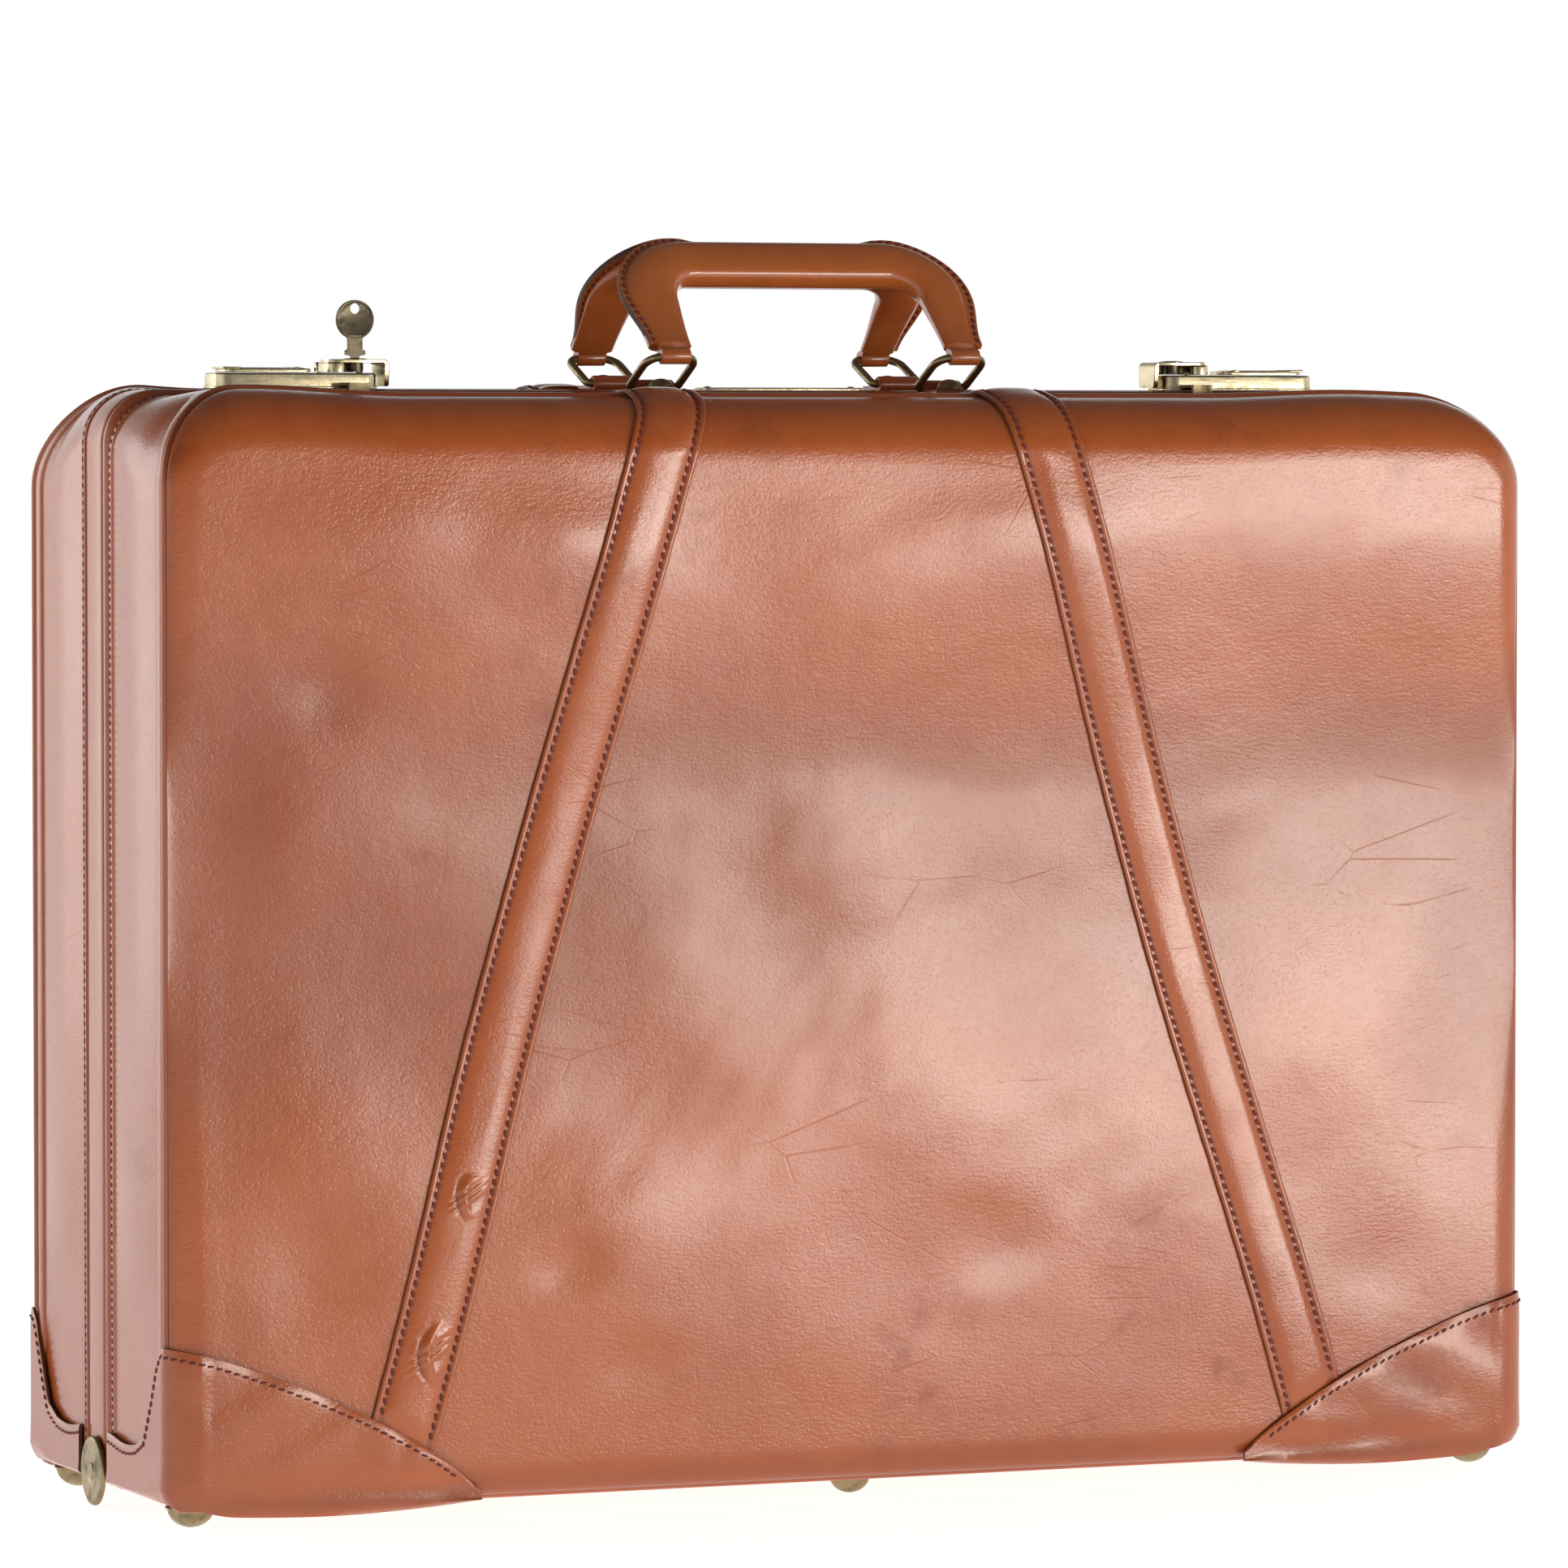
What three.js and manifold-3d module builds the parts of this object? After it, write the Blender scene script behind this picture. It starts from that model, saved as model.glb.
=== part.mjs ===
// A leather-covered two-handled case that stands on its hinge edge.
// Millimetres, +Z up, X along the case, the lid (front half) toward -Y.
import * as THREE from 'three';
import { mergeVertices } from 'three/addons/utils/BufferGeometryUtils.js';
import Module from 'manifold-3d';

const wasm = await Module();
wasm.setup();

// ---- driving dimensions ----------------------------------------------------
const HALF_LENGTH = 305;
const BASE_Z = 9;
const FRONT_TOP_Z = 460.5;
const BACK_TOP_Z = 462.5;
const PIPE_Y = 87;
const TOP_SETBACK = 25;
const FACE_BULGE = 9;
const SIDE_ROLL = 10;
const TOP_ROLL = 25;
const PANEL_CROWN = 2;
// Radius of the two upper corners: tight at the split, full from the piping outward.
const CORNER = {
  lid: { near: 15, tight: 24, far: 62, full: 38 },
  back: { near: 21, tight: 22, far: 62, full: 40 },
};
const BASE_RADIUS = 8;
const WALL = 3;
const PIPE_R = 1.7;
const LINING = 1.2;
const GAP = 0.3;

const SPLIT_Y = -14;
const SPLIT_GAP = 2;
const BEAD_R = 3.6;
const BAND_WIDTH = 21;
const WELT_WIDTH = 5;

const HINGE_Z = 5.4;
const HINGE_LENGTH = 540;
const KNUCKLES = 5;

const STRAP_WIDTH = 31;
const STRAP_THICK = 2.6;
const STRAP_TOP_X = 80;
const STRAP_SLOPE = 0.296;

const RING_LENGTH = 28.6;
const RING_WIDTH = 22;
const RING_WIRE = 1.5;
const HANDLE_X = 66;
const FRONT_BAR = [-17, FRONT_TOP_Z + 3.8];
const BACK_BAR = [30, BACK_TOP_Z + 3.8];
const RING_TOP_Z = 477.5;
const RIVET_R = 6;
const RIVET_OUT = 10;

const LOCK_CENTRE = { left: -220, right: 212.8 };
const LOCK_LENGTH = 72;
const LOCK_DEPTH = 24;
const LOCK_Y = 3.5;
const LOCK_TOP_Z = 470.3;
const HASP_LENGTH = 26;
const HASP_DEPTH = 19;
const HASP_TOP_Z = 476;
const PLUG_R = 3.4;
const SLIDE = { length: 38, width: 18, u: 48 };
const KEY = { bow: 8.2, bowZ: 492.6 };

const DISC_R = 14.5;
const DISC_THICK = 2.2;
const DISC_AT = [4, 15];

// ---- colours ---------------------------------------------------------------
const paint = (color, roughness, metalness) =>
  new THREE.MeshStandardMaterial({ color, roughness, metalness });
const leather = () => paint(0xa5562b, 0.35, 0);
const darkLeather = () => paint(0x7f3d20, 0.4, 0);
const brass = () => paint(0xb79a55, 0.3, 1);
const agedBrass = () => paint(0x8a7440, 0.45, 1);
const nickel = () => paint(0xa59a80, 0.35, 1);
const cloth = () => paint(0x8b6f4e, 0.9, 0);

// ---- mesh helpers ----------------------------------------------------------
const root = new THREE.Group();

function add(name, geometry, material) {
  const mesh = new THREE.Mesh(geometry, material);
  mesh.name = name;
  root.add(mesh);
  return mesh;
}

function signedVolume(points, faces) {
  const [a, b, c] = [new THREE.Vector3(), new THREE.Vector3(), new THREE.Vector3()];
  let volume = 0;
  for (const [i, j, k] of faces) {
    a.fromArray(points[i]);
    b.fromArray(points[j]);
    c.fromArray(points[k]);
    volume += a.dot(b.cross(c));
  }
  return volume;
}

// A closed skin over a list of rings of equal count. A ring of one point is an apex.
function skin(rings, closed = false) {
  const points = [];
  const starts = rings.map((ring) => {
    points.push(...ring);
    return points.length - ring.length;
  });
  const faces = [];
  const last = closed ? rings.length : rings.length - 1;
  for (let i = 0; i < last; i += 1) {
    const j = (i + 1) % rings.length;
    const count = Math.max(rings[i].length, rings[j].length);
    for (let k = 0; k < count; k += 1) {
      const next = (k + 1) % count;
      const a = starts[i] + (rings[i].length > 1 ? k : 0);
      const b = starts[i] + (rings[i].length > 1 ? next : 0);
      const c = starts[j] + (rings[j].length > 1 ? next : 0);
      const d = starts[j] + (rings[j].length > 1 ? k : 0);
      if (a !== b) faces.push([a, b, c]);
      if (c !== d) faces.push([a, c, d]);
    }
  }
  if (!closed) {
    for (const [ring, start, flip] of [
      [rings[0], starts[0], true],
      [rings.at(-1), starts.at(-1), false],
    ]) {
      for (let k = 1; k < ring.length - 1; k += 1) {
        faces.push(flip ? [start, start + k + 1, start + k] : [start, start + k, start + k + 1]);
      }
    }
  }
  if (signedVolume(points, faces) < 0) faces.forEach((face) => face.reverse());
  const geometry = new THREE.BufferGeometry();
  geometry.setAttribute('position', new THREE.Float32BufferAttribute(points.flat(), 3));
  geometry.setIndex(faces.flat());
  return geometry;
}

function toSolid(geometry) {
  const bare = new THREE.BufferGeometry();
  bare.setAttribute('position', geometry.getAttribute('position'));
  if (geometry.index) bare.setIndex(geometry.index);
  const merged = mergeVertices(bare, 1e-4);
  const mesh = new wasm.Mesh({
    numProp: 3,
    vertProperties: new Float32Array(merged.getAttribute('position').array),
    triVerts: new Uint32Array(merged.index.array),
  });
  return new wasm.Manifold(mesh);
}

function fromSolid(solid) {
  const mesh = solid.getMesh();
  const geometry = new THREE.BufferGeometry();
  geometry.setAttribute('position', new THREE.BufferAttribute(mesh.vertProperties, 3));
  geometry.setIndex(new THREE.BufferAttribute(mesh.triVerts, 1));
  return geometry;
}

function join(...parts) {
  return parts.map(toSolid).reduce((sum, part) => sum.add(part));
}

function cut(body, ...tools) {
  return fromSolid(tools.reduce((left, tool) => left.subtract(toSolid(tool)), body));
}

const box = (w, d, h, x, y, z) => new THREE.BoxGeometry(w, d, h).translate(x, y, z);

// A cylinder along X, Y or Z.
function rod(radius, length, axis, x, y, z, sides = 12) {
  const geometry = new THREE.CylinderGeometry(radius, radius, length, sides);
  if (axis === 'x') geometry.rotateZ(Math.PI / 2);
  if (axis === 'z') geometry.rotateX(Math.PI / 2);
  return geometry.translate(x, y, z);
}

// A plate with rounded corners, its lower face at z.
function plate(width, depth, height, radius, x, y, z, segments = 4) {
  const [w, d] = [width / 2, depth / 2];
  const shape = new THREE.Shape();
  shape.moveTo(-w + radius, -d);
  shape.lineTo(w - radius, -d);
  shape.absarc(w - radius, -d + radius, radius, -Math.PI / 2, 0, false);
  shape.lineTo(w, d - radius);
  shape.absarc(w - radius, d - radius, radius, 0, Math.PI / 2, false);
  shape.lineTo(-w + radius, d);
  shape.absarc(-w + radius, d - radius, radius, Math.PI / 2, Math.PI, false);
  shape.lineTo(-w, -d + radius);
  shape.absarc(-w + radius, -d + radius, radius, Math.PI, 1.5 * Math.PI, false);
  const options = { depth: height, bevelEnabled: false, curveSegments: segments };
  return new THREE.ExtrudeGeometry(shape, options).translate(x, y, z);
}

// A prism along X from a profile of [y, z] points, with any holes in it.
function prism(profile, x0, x1, holes = []) {
  const shape = new THREE.Shape(profile.map(([y, z]) => new THREE.Vector2(y, z)));
  shape.holes = holes.map((hole) => new THREE.Path(hole.map(([y, z]) => new THREE.Vector2(y, z))));
  const geometry = new THREE.ExtrudeGeometry(shape, { depth: x1 - x0, bevelEnabled: false });
  const turn = new THREE.Matrix4().makeBasis(
    new THREE.Vector3(0, 1, 0), new THREE.Vector3(0, 0, 1), new THREE.Vector3(1, 0, 0),
  );
  return geometry.applyMatrix4(turn).translate(x0, 0, 0);
}

// Points on a circle in the YZ plane.
function circle(radius, y, z, sides = 8, start = Math.PI / sides, sweep = 2 * Math.PI) {
  const points = [];
  for (let i = 0; i < sides; i += 1) {
    const angle = start + (sweep * i) / (sweep > 6 ? sides : sides - 1);
    points.push([y + radius * Math.cos(angle), z + radius * Math.sin(angle)]);
  }
  return points;
}

// ---- case outline ----------------------------------------------------------
// Points once around the case seen from the front. "top" is 1 along the top edge and 0 on the
// ends and base, and eases between them round the two top corners.
function outline(topZ) {
  const points = [];
  const corner = (hand, upper, start, steps, top) => {
    for (let i = 0; i <= steps; i += 1) {
      const t = i / steps;
      points.push({ hand, upper, topZ, angle: start + (t * Math.PI) / 2, top: top(t) });
    }
  };
  const ease = (t) => t * t * (3 - 2 * t);
  corner(1, false, -Math.PI / 2, 2, () => 0);
  corner(1, true, 0, 6, ease);
  corner(-1, true, Math.PI / 2, 6, (t) => ease(1 - t));
  corner(-1, false, Math.PI, 2, () => 0);
  return points;
}

function cornerRadius(y) {
  const { near, tight, far, full } = y < SPLIT_Y ? CORNER.lid : CORNER.back;
  const share = Math.min(Math.max((Math.abs(y) - near) / (far - near), 0), 1);
  return tight + (full - tight) * share;
}

function inset(point, distance, y) {
  const radius = Math.max((point.upper ? cornerRadius(y) : BASE_RADIUS) - distance, 0.4);
  const x = point.hand * (HALF_LENGTH - distance - radius) + radius * Math.cos(point.angle);
  const z = point.upper ? point.topZ - distance - radius : BASE_Z + distance + radius;
  return [x, z + radius * Math.sin(point.angle)];
}

// A ring of the case at an inset, with y given by a function of the outline point.
function ringAt(points, distance, yOf) {
  return points.map((point) => {
    const y = yOf(point);
    const [x, z] = inset(point, typeof distance === 'function' ? distance(point) : distance, y);
    return [x, y, z];
  });
}

const seamY = (point) => PIPE_Y - TOP_SETBACK * point.top;
const rollDepth = (point) => FACE_BULGE + TOP_SETBACK * point.top;
const rollWidth = (point) => SIDE_ROLL + (TOP_ROLL - SIDE_ROLL) * point.top;
const ROLL = [0, 0.3, 0.6, 0.85, 1].map((t) => (t * Math.PI) / 2);

// side is -1 for the front half and 1 for the back half
function panel(topZ, side) {
  const points = outline(topZ);
  const rim = PIPE_R + GAP;
  const outer = ROLL.map((a) =>
    ringAt(
      points,
      (p) => rollWidth(p) * (1 - Math.cos(a)),
      (p) => side * (seamY(p) + rim + (rollDepth(p) - rim) * Math.sin(a)),
    ),
  );
  const inner = [ROLL[0], ROLL[2], ROLL[4]].map((a) =>
    ringAt(
      points,
      (p) => WALL + rollWidth(p) * (1 - Math.cos(a)),
      (p) => side * (seamY(p) + rim + (rollDepth(p) - rim - WALL) * Math.sin(a)),
    ),
  );
  const face = side * (PIPE_Y + FACE_BULGE);
  const middle = (BASE_Z + topZ) / 2;
  const shrink = (ring, scale, y) =>
    ring.map(([x, , z]) => [x * scale, y, middle + (z - middle) * scale]);
  const crown = (amount) => face + side * PANEL_CROWN * amount;
  const back = face - side * WALL;
  return skin([
    [[0, crown(1), middle]],
    shrink(outer.at(-1), 0.4, crown(0.85)),
    shrink(outer.at(-1), 0.75, crown(0.45)),
    ...outer.reverse(),
    ...inner,
    [[0, back, middle]],
  ]);
}

// A band of the case between two y functions.
function band(topZ, from, to, outside, thickness) {
  const points = outline(topZ);
  const [over, under] = [-outside, thickness - outside];
  return skin(
    [
      ringAt(points, over, from), ringAt(points, over, to),
      ringAt(points, under, to), ringAt(points, under, from),
    ],
    true,
  );
}

// A round cord of leather along the outline.
function cordRing(topZ, yOf, radius, sink, sides = 6) {
  const points = outline(topZ);
  const rings = [];
  for (let i = 0; i < sides; i += 1) {
    const angle = ((i + 0.5) / sides) * 2 * Math.PI;
    rings.push(
      ringAt(points, sink - radius * Math.cos(angle), (p) => yOf(p) + radius * Math.sin(angle)),
    );
  }
  return skin(rings, true);
}

function lining(topZ, side, mouthY) {
  const points = outline(topZ);
  const skinAt = (distance, y) => ringAt(points, distance, () => y);
  const deep = side * (PIPE_Y - TOP_SETBACK - 2);
  const face = side * (PIPE_Y + FACE_BULGE - WALL - 1);
  const gap = WALL + 0.5;
  const middle = (BASE_Z + topZ) / 2;
  return skin([
    [[0, face, middle]],
    skinAt(TOP_ROLL + gap + 4, face),
    skinAt(gap, deep),
    skinAt(gap, mouthY),
    skinAt(gap + LINING, mouthY),
    skinAt(gap + LINING, deep - side * 0.4),
    skinAt(TOP_ROLL + gap + 4, face - side * LINING),
    [[0, face - side * LINING, middle]],
  ]);
}

// ---- the two shells --------------------------------------------------------
const splitFront = () => SPLIT_Y - SPLIT_GAP / 2;
const beadY = SPLIT_Y + SPLIT_GAP / 2 + BEAD_R;
const bandFrom = beadY + BEAD_R + GAP;
const bandTo = bandFrom + BAND_WIDTH;
const weltTo = bandTo + GAP + WELT_WIDTH;

add('front_panel', panel(FRONT_TOP_Z, -1), leather());
add(
  'front_gusset',
  band(FRONT_TOP_Z, splitFront, (p) => -seamY(p) + PIPE_R + GAP, 0, WALL),
  leather(),
);
add('front_piping', cordRing(FRONT_TOP_Z, (p) => -seamY(p), PIPE_R, 1), darkLeather());
add('front_lining', lining(FRONT_TOP_Z, -1, SPLIT_Y - 1.5), cloth());

add('back_panel', panel(BACK_TOP_Z, 1), leather());
add(
  'back_gusset',
  band(BACK_TOP_Z, () => weltTo + GAP, (p) => seamY(p) - PIPE_R - GAP, 0, WALL),
  leather(),
);
add('back_piping', cordRing(BACK_TOP_Z, seamY, PIPE_R, 1), darkLeather());
add('back_welt', band(BACK_TOP_Z, () => bandTo + GAP, () => weltTo, 1, WALL), leather());
add('frame_band', band(BACK_TOP_Z, () => bandFrom, () => bandTo, 0.3, WALL), leather());
add('frame_bead', cordRing(BACK_TOP_Z, () => beadY, BEAD_R, BEAD_R - 0.5, 8), leather());
add('back_lining', lining(BACK_TOP_Z, 1, bandFrom + 1), cloth());

// The tongue is a U-shaped lip up both ends and across the top, inside the split.
const TONGUE_Y = [SPLIT_Y - 7, SPLIT_Y + 12];
const TONGUE_INSET = WALL + LINING + 4.5;
const tongueRing = band(
  FRONT_TOP_Z, () => TONGUE_Y[0], () => TONGUE_Y[1], -TONGUE_INSET, 1.5,
);
const tongueFoot = box(2 * HALF_LENGTH, 60, 60, 0, SPLIT_Y, BASE_Z + 20);
add('frame_tongue', cut(toSolid(tongueRing), tongueFoot), paint(0x6e4a2c, 0.6, 0));

const POCKET = { width: 440, height: 230, thick: 1.6, z: 60 };
add(
  'lid_pocket',
  box(
    POCKET.width, POCKET.thick, POCKET.height,
    0, -(PIPE_Y + FACE_BULGE - WALL - LINING - 1 - 1.5 - POCKET.thick / 2),
    POCKET.z + POCKET.height / 2,
  ),
  cloth(),
);

// The corner patches cover the lower ends of the straps. Their upper edge falls from the end
// of the case to its base along a full curve.
const PATCH_RISE = 66;
const PATCH_RUN = 133;
const PATCH_THICK = 1.6;
const PATCH_BASE_Z = BASE_Z - 0.4;
function patchTop(x) {
  const t = Math.min((HALF_LENGTH - Math.abs(x)) / PATCH_RUN, 0.97);
  return BASE_Z + PATCH_RISE * Math.pow(1 - Math.pow(t, 1.2), 0.75);
}

// ---- straps ----------------------------------------------------------------
// A strap starts on top of the case, rolls over the edge and runs down the face, leaning
// outward, until it meets the corner patch.
function strapProfile(topZ, topY, lift) {
  const face = PIPE_Y + FACE_BULGE + PANEL_CROWN + lift;
  const crestY = PIPE_Y - TOP_SETBACK;
  const crestZ = topZ + 1.3 + lift;
  const profile = [[topY, crestZ], [crestY, crestZ]];
  for (const t of [0.25, 0.5, 0.75, 1]) {
    const a = (t * Math.PI) / 2;
    profile.push([
      crestY + (face - crestY) * Math.sin(a), topZ - TOP_ROLL + (TOP_ROLL + 1.3 + lift) * Math.cos(a),
    ]);
  }
  return [...profile, [face, topZ / 2], [face, 0]];
}

function strap(topZ, topY, side, hand) {
  const under = strapProfile(topZ, topY, GAP);
  const over = strapProfile(topZ, topY, GAP + STRAP_THICK);
  const centre = (z) => STRAP_TOP_X + Math.max(FRONT_TOP_Z - z, 0) * STRAP_SLOPE;
  const at = ([y, z], offset) => {
    let height = z;
    if (z === 0) {
      height = patchTop(centre(38) + offset) + 4;
    }
    return [hand * (centre(height) + offset), side * y, height];
  };
  const [inner, outer] = [-STRAP_WIDTH / 2, STRAP_WIDTH / 2];
  return skin(
    under.map((point, i) => [
      at(point, inner), at(point, outer), at(over[i], outer), at(over[i], inner),
    ]),
  );
}

const HANDS = [['left', -1], ['right', 1]];
for (const [name, hand] of HANDS) {
  add(`strap_${name}`, strap(FRONT_TOP_Z, 36, -1, hand), leather());
  add(`back_strap_${name}`, strap(BACK_TOP_Z, 50, 1, hand), leather());
}

// ---- corner patches --------------------------------------------------------
// Each patch is one bent sheet: across the face, round the end roll and along the end.
function patch(side, hand, gapY) {
  const face = PIPE_Y + FACE_BULGE + 1.4;
  const end = HALF_LENGTH + 1.2;
  const stations = [];
  for (const t of [1, 0.75, 0.5, 0.25]) {
    const x = HALF_LENGTH - PATCH_RUN * t;
    stations.push({ x, y: face, nx: 0, ny: 1, z: patchTop(x) });
  }
  for (const a of [90, 60, 30, 0]) {
    const [nx, ny] = [Math.cos((a * Math.PI) / 180), Math.sin((a * Math.PI) / 180)];
    const x = HALF_LENGTH - SIDE_ROLL + (SIDE_ROLL + 1.2) * nx;
    stations.push({ x, y: PIPE_Y + (face - PIPE_Y) * ny, nx, ny, z: BASE_Z + PATCH_RISE });
  }
  for (const [y, rise] of [[PIPE_Y - 12, 46], [PIPE_Y - 22, 26], [gapY, 24]]) {
    stations.push({ x: end, y, nx: 1, ny: 0, z: BASE_Z + rise });
  }
  return skin(
    stations.map(({ x, y, nx, ny, z }) => {
      const [ox, oy] = [x + nx * PATCH_THICK, y + ny * PATCH_THICK];
      return [
        [x * hand, y * side, z], [ox * hand, oy * side, z],
        [ox * hand, oy * side, PATCH_BASE_Z], [x * hand, y * side, PATCH_BASE_Z],
      ];
    }),
  );
}

// ---- feet, discs, rivets ---------------------------------------------------
function dome(radius, height, flat, x, y, z, up) {
  const profile = [[0, height], [flat, height], [radius * 0.8, height * 0.62], [radius, 0], [0, 0]];
  const points = profile.map(([r, h]) => new THREE.Vector2(r, h));
  const geometry = new THREE.LatheGeometry(points.reverse(), 14);
  geometry.rotateX(up ? Math.PI / 2 : -Math.PI / 2);
  return fromSolid(toSolid(geometry.translate(x, y, z)));
}

const FOOT_X = 291;
const FOOT_Y = PIPE_Y - 12.4;
const FOOT_TOP = BASE_Z - 0.3;
for (const [half, side] of [['front', -1], ['back', 1]]) {
  for (const [name, x, radius] of [['left', -FOOT_X, 10.5], ['middle', 0, 9.5], ['right', FOOT_X, 10.5]]) {
    const drop = name === 'middle' ? FOOT_TOP - 0.5 : FOOT_TOP;
    add(
      `${half}_foot_${name}`,
      dome(radius, drop, 4, x, side * FOOT_Y, FOOT_TOP, false),
      agedBrass(),
    );
  }
}

for (const [name, hand] of HANDS) {
  add(`front_patch_${name}`, patch(-1, hand, -SPLIT_Y + 2), leather());
  add(`back_patch_${name}`, patch(1, hand, weltTo + 1), leather());
  const x = hand * (HALF_LENGTH + 2.5);
  add(`end_disc_${name}`, rod(DISC_R, DISC_THICK, 'x', x, DISC_AT[0], DISC_AT[1], 24), agedBrass());
}

// ---- bottom hinge ----------------------------------------------------------
const LEAF = { thick: 1.2, width: 16, top: BASE_Z - 0.3, knuckle: 2.6, bore: 1.4, pin: 1.1 };
function hingeLeaf(side, first) {
  const step = HINGE_LENGTH / KNUCKLES;
  const y = SPLIT_Y + side * (2 + LEAF.width / 2);
  const pieces = [box(HINGE_LENGTH, LEAF.width, LEAF.thick, 0, y, LEAF.top - LEAF.thick / 2)];
  const bores = [];
  for (let i = first; i < KNUCKLES; i += 2) {
    const x = -HINGE_LENGTH / 2 + step * (i + 0.5);
    const length = step - 0.6;
    pieces.push(rod(LEAF.knuckle, length, 'x', x, SPLIT_Y, HINGE_Z, 10));
    pieces.push(box(length, 2, 2.4, x, SPLIT_Y + side * 1.6, LEAF.top - 1.2));
    bores.push(rod(LEAF.bore, step, 'x', x, SPLIT_Y, HINGE_Z, 8));
  }
  return cut(join(...pieces), ...bores);
}
add('hinge_leaf_front', hingeLeaf(-1, 1), agedBrass());
add('hinge_leaf_back', hingeLeaf(1, 0), agedBrass());
add('hinge_pin', rod(LEAF.pin, HINGE_LENGTH, 'x', 0, SPLIT_Y, HINGE_Z, 8), agedBrass());

// ---- rings, chapes and handles ---------------------------------------------
// A wire loop through [x, s] points of a plane that leans by an angle about the X axis.
function wireLoop(path, radius, sides = 6) {
  const count = path.length;
  const rings = path.map((point, i) => {
    const before = path[(i + count - 1) % count];
    const after = path[(i + 1) % count];
    const tangent = new THREE.Vector2(after[0] - before[0], after[1] - before[1]).normalize();
    return Array.from({ length: sides }, (_, k) => {
      const angle = ((k + 0.5) / sides) * 2 * Math.PI;
      const across = radius * Math.cos(angle);
      return [point[0] + tangent.y * across, radius * Math.sin(angle), point[1] - tangent.x * across];
    });
  });
  return skin(rings, true);
}

function ringPath() {
  const [w, top, low, high] = [RING_WIDTH / 2, RING_WIDTH / 2 - 1, 2, 4];
  const h = RING_LENGTH;
  const half = [
    [w - low, 0], [w - 0.3 * low, 0.3 * low], [w, low], [w - 0.4, h * 0.5], [top, h - high],
    [top - 0.3 * high, h - 0.3 * high], [top - high, h],
  ];
  return [...half, ...half.map(([x, s]) => [-x, s]).reverse()];
}

function ringLean(bar, side) {
  const rise = RING_TOP_Z - bar[1];
  return { rise, run: side * Math.sqrt(RING_LENGTH ** 2 - rise ** 2) };
}

function placeRing(name, hand, bar, side) {
  const { rise, run } = ringLean(bar, side);
  const mesh = add(name, wireLoop(ringPath(), RING_WIRE), agedBrass());
  mesh.rotation.x = -Math.atan2(run, rise);
  mesh.position.set(hand * HANDLE_X, bar[0], bar[1]);
}

// A tab that lies on the case and turns up around the bar of a ring.
const CHAPE = { width: 18, thick: 2.7, bore: 1.95, wrap: 3.5, reach: 17 };
function chape(hand, bar, side, surfaceZ) {
  const [y, z] = bar;
  const low = surfaceZ + GAP + 1.1;
  const tab = [
    [y, low], [y + side * CHAPE.reach, low],
    [y + side * CHAPE.reach, low + CHAPE.thick], [y, low + CHAPE.thick],
  ];
  const x0 = hand * HANDLE_X - CHAPE.width / 2;
  const x1 = x0 + CHAPE.width;
  const ordered = side > 0 ? tab : [...tab].reverse();
  const wrap = rod(CHAPE.wrap, CHAPE.width, 'x', hand * HANDLE_X, y, z, 10);
  const bore = rod(CHAPE.bore, CHAPE.width + 2, 'x', hand * HANDLE_X, y, z, 8);
  return cut(join(prism(ordered, x0, x1), wrap), bore);
}

// The handle lies in a plane through its ring bars. u runs along X, s up the plane.
const HANDLE = { grip: 56, width: 22, leg: 66.5, corner: 22, foot: 4.2, lean: 45.8 };
function handleStations() {
  const { grip, leg, corner, foot } = HANDLE;
  const half = [
    { u: leg, s: foot, w: 19, t: 6.5, a: 90 }, { u: leg, s: 15, w: 20.5, t: 8, a: 90 },
    { u: leg, s: grip - corner, w: 21, t: 10, a: 90 },
  ];
  for (const a of [60, 30, 0]) {
    const angle = (a * Math.PI) / 180;
    const u = leg - corner + corner * Math.sin(angle);
    half.push({ u, s: grip - corner + corner * Math.cos(angle), w: 22, t: 14 - a / 25, a });
  }
  const rest = half.map(({ u, s, w, t, a }) => ({ u: -u, s, w, t, a: -a })).reverse();
  return [...half, ...rest];
}

function handleSection({ u, s, w, t, a }) {
  const angle = (a * Math.PI) / 180;
  const [nu, ns] = [Math.sin(angle), Math.cos(angle)];
  return Array.from({ length: 10 }, (_, k) => {
    const turn = ((k + 0.5) / 10) * 2 * Math.PI;
    const along = (Math.cos(turn) * w) / 2;
    const across = (Math.sin(turn) * t) / 2;
    return [u + nu * along, across, s + ns * along];
  });
}

function placeHandle(name, bar, side) {
  const { run } = ringLean(bar, side);
  const body = skin(handleStations().map(handleSection));
  const loops = HANDS.map(([, hand]) => rod(3.5, 13, 'x', hand * HANDLE_X, 0, 0, 10));
  const necks = HANDS.map(([, hand]) => box(13, 4, 5, hand * HANDLE_X, 0, 4));
  const bores = HANDS.map(([, hand]) => rod(CHAPE.bore, 15, 'x', hand * HANDLE_X, 0, 0, 8));
  const mesh = add(name, cut(join(body, ...loops, ...necks), ...bores), leather());
  mesh.rotation.x = (side * HANDLE.lean * Math.PI) / 180;
  mesh.position.set(0, bar[0] + run, RING_TOP_Z);
}

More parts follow.
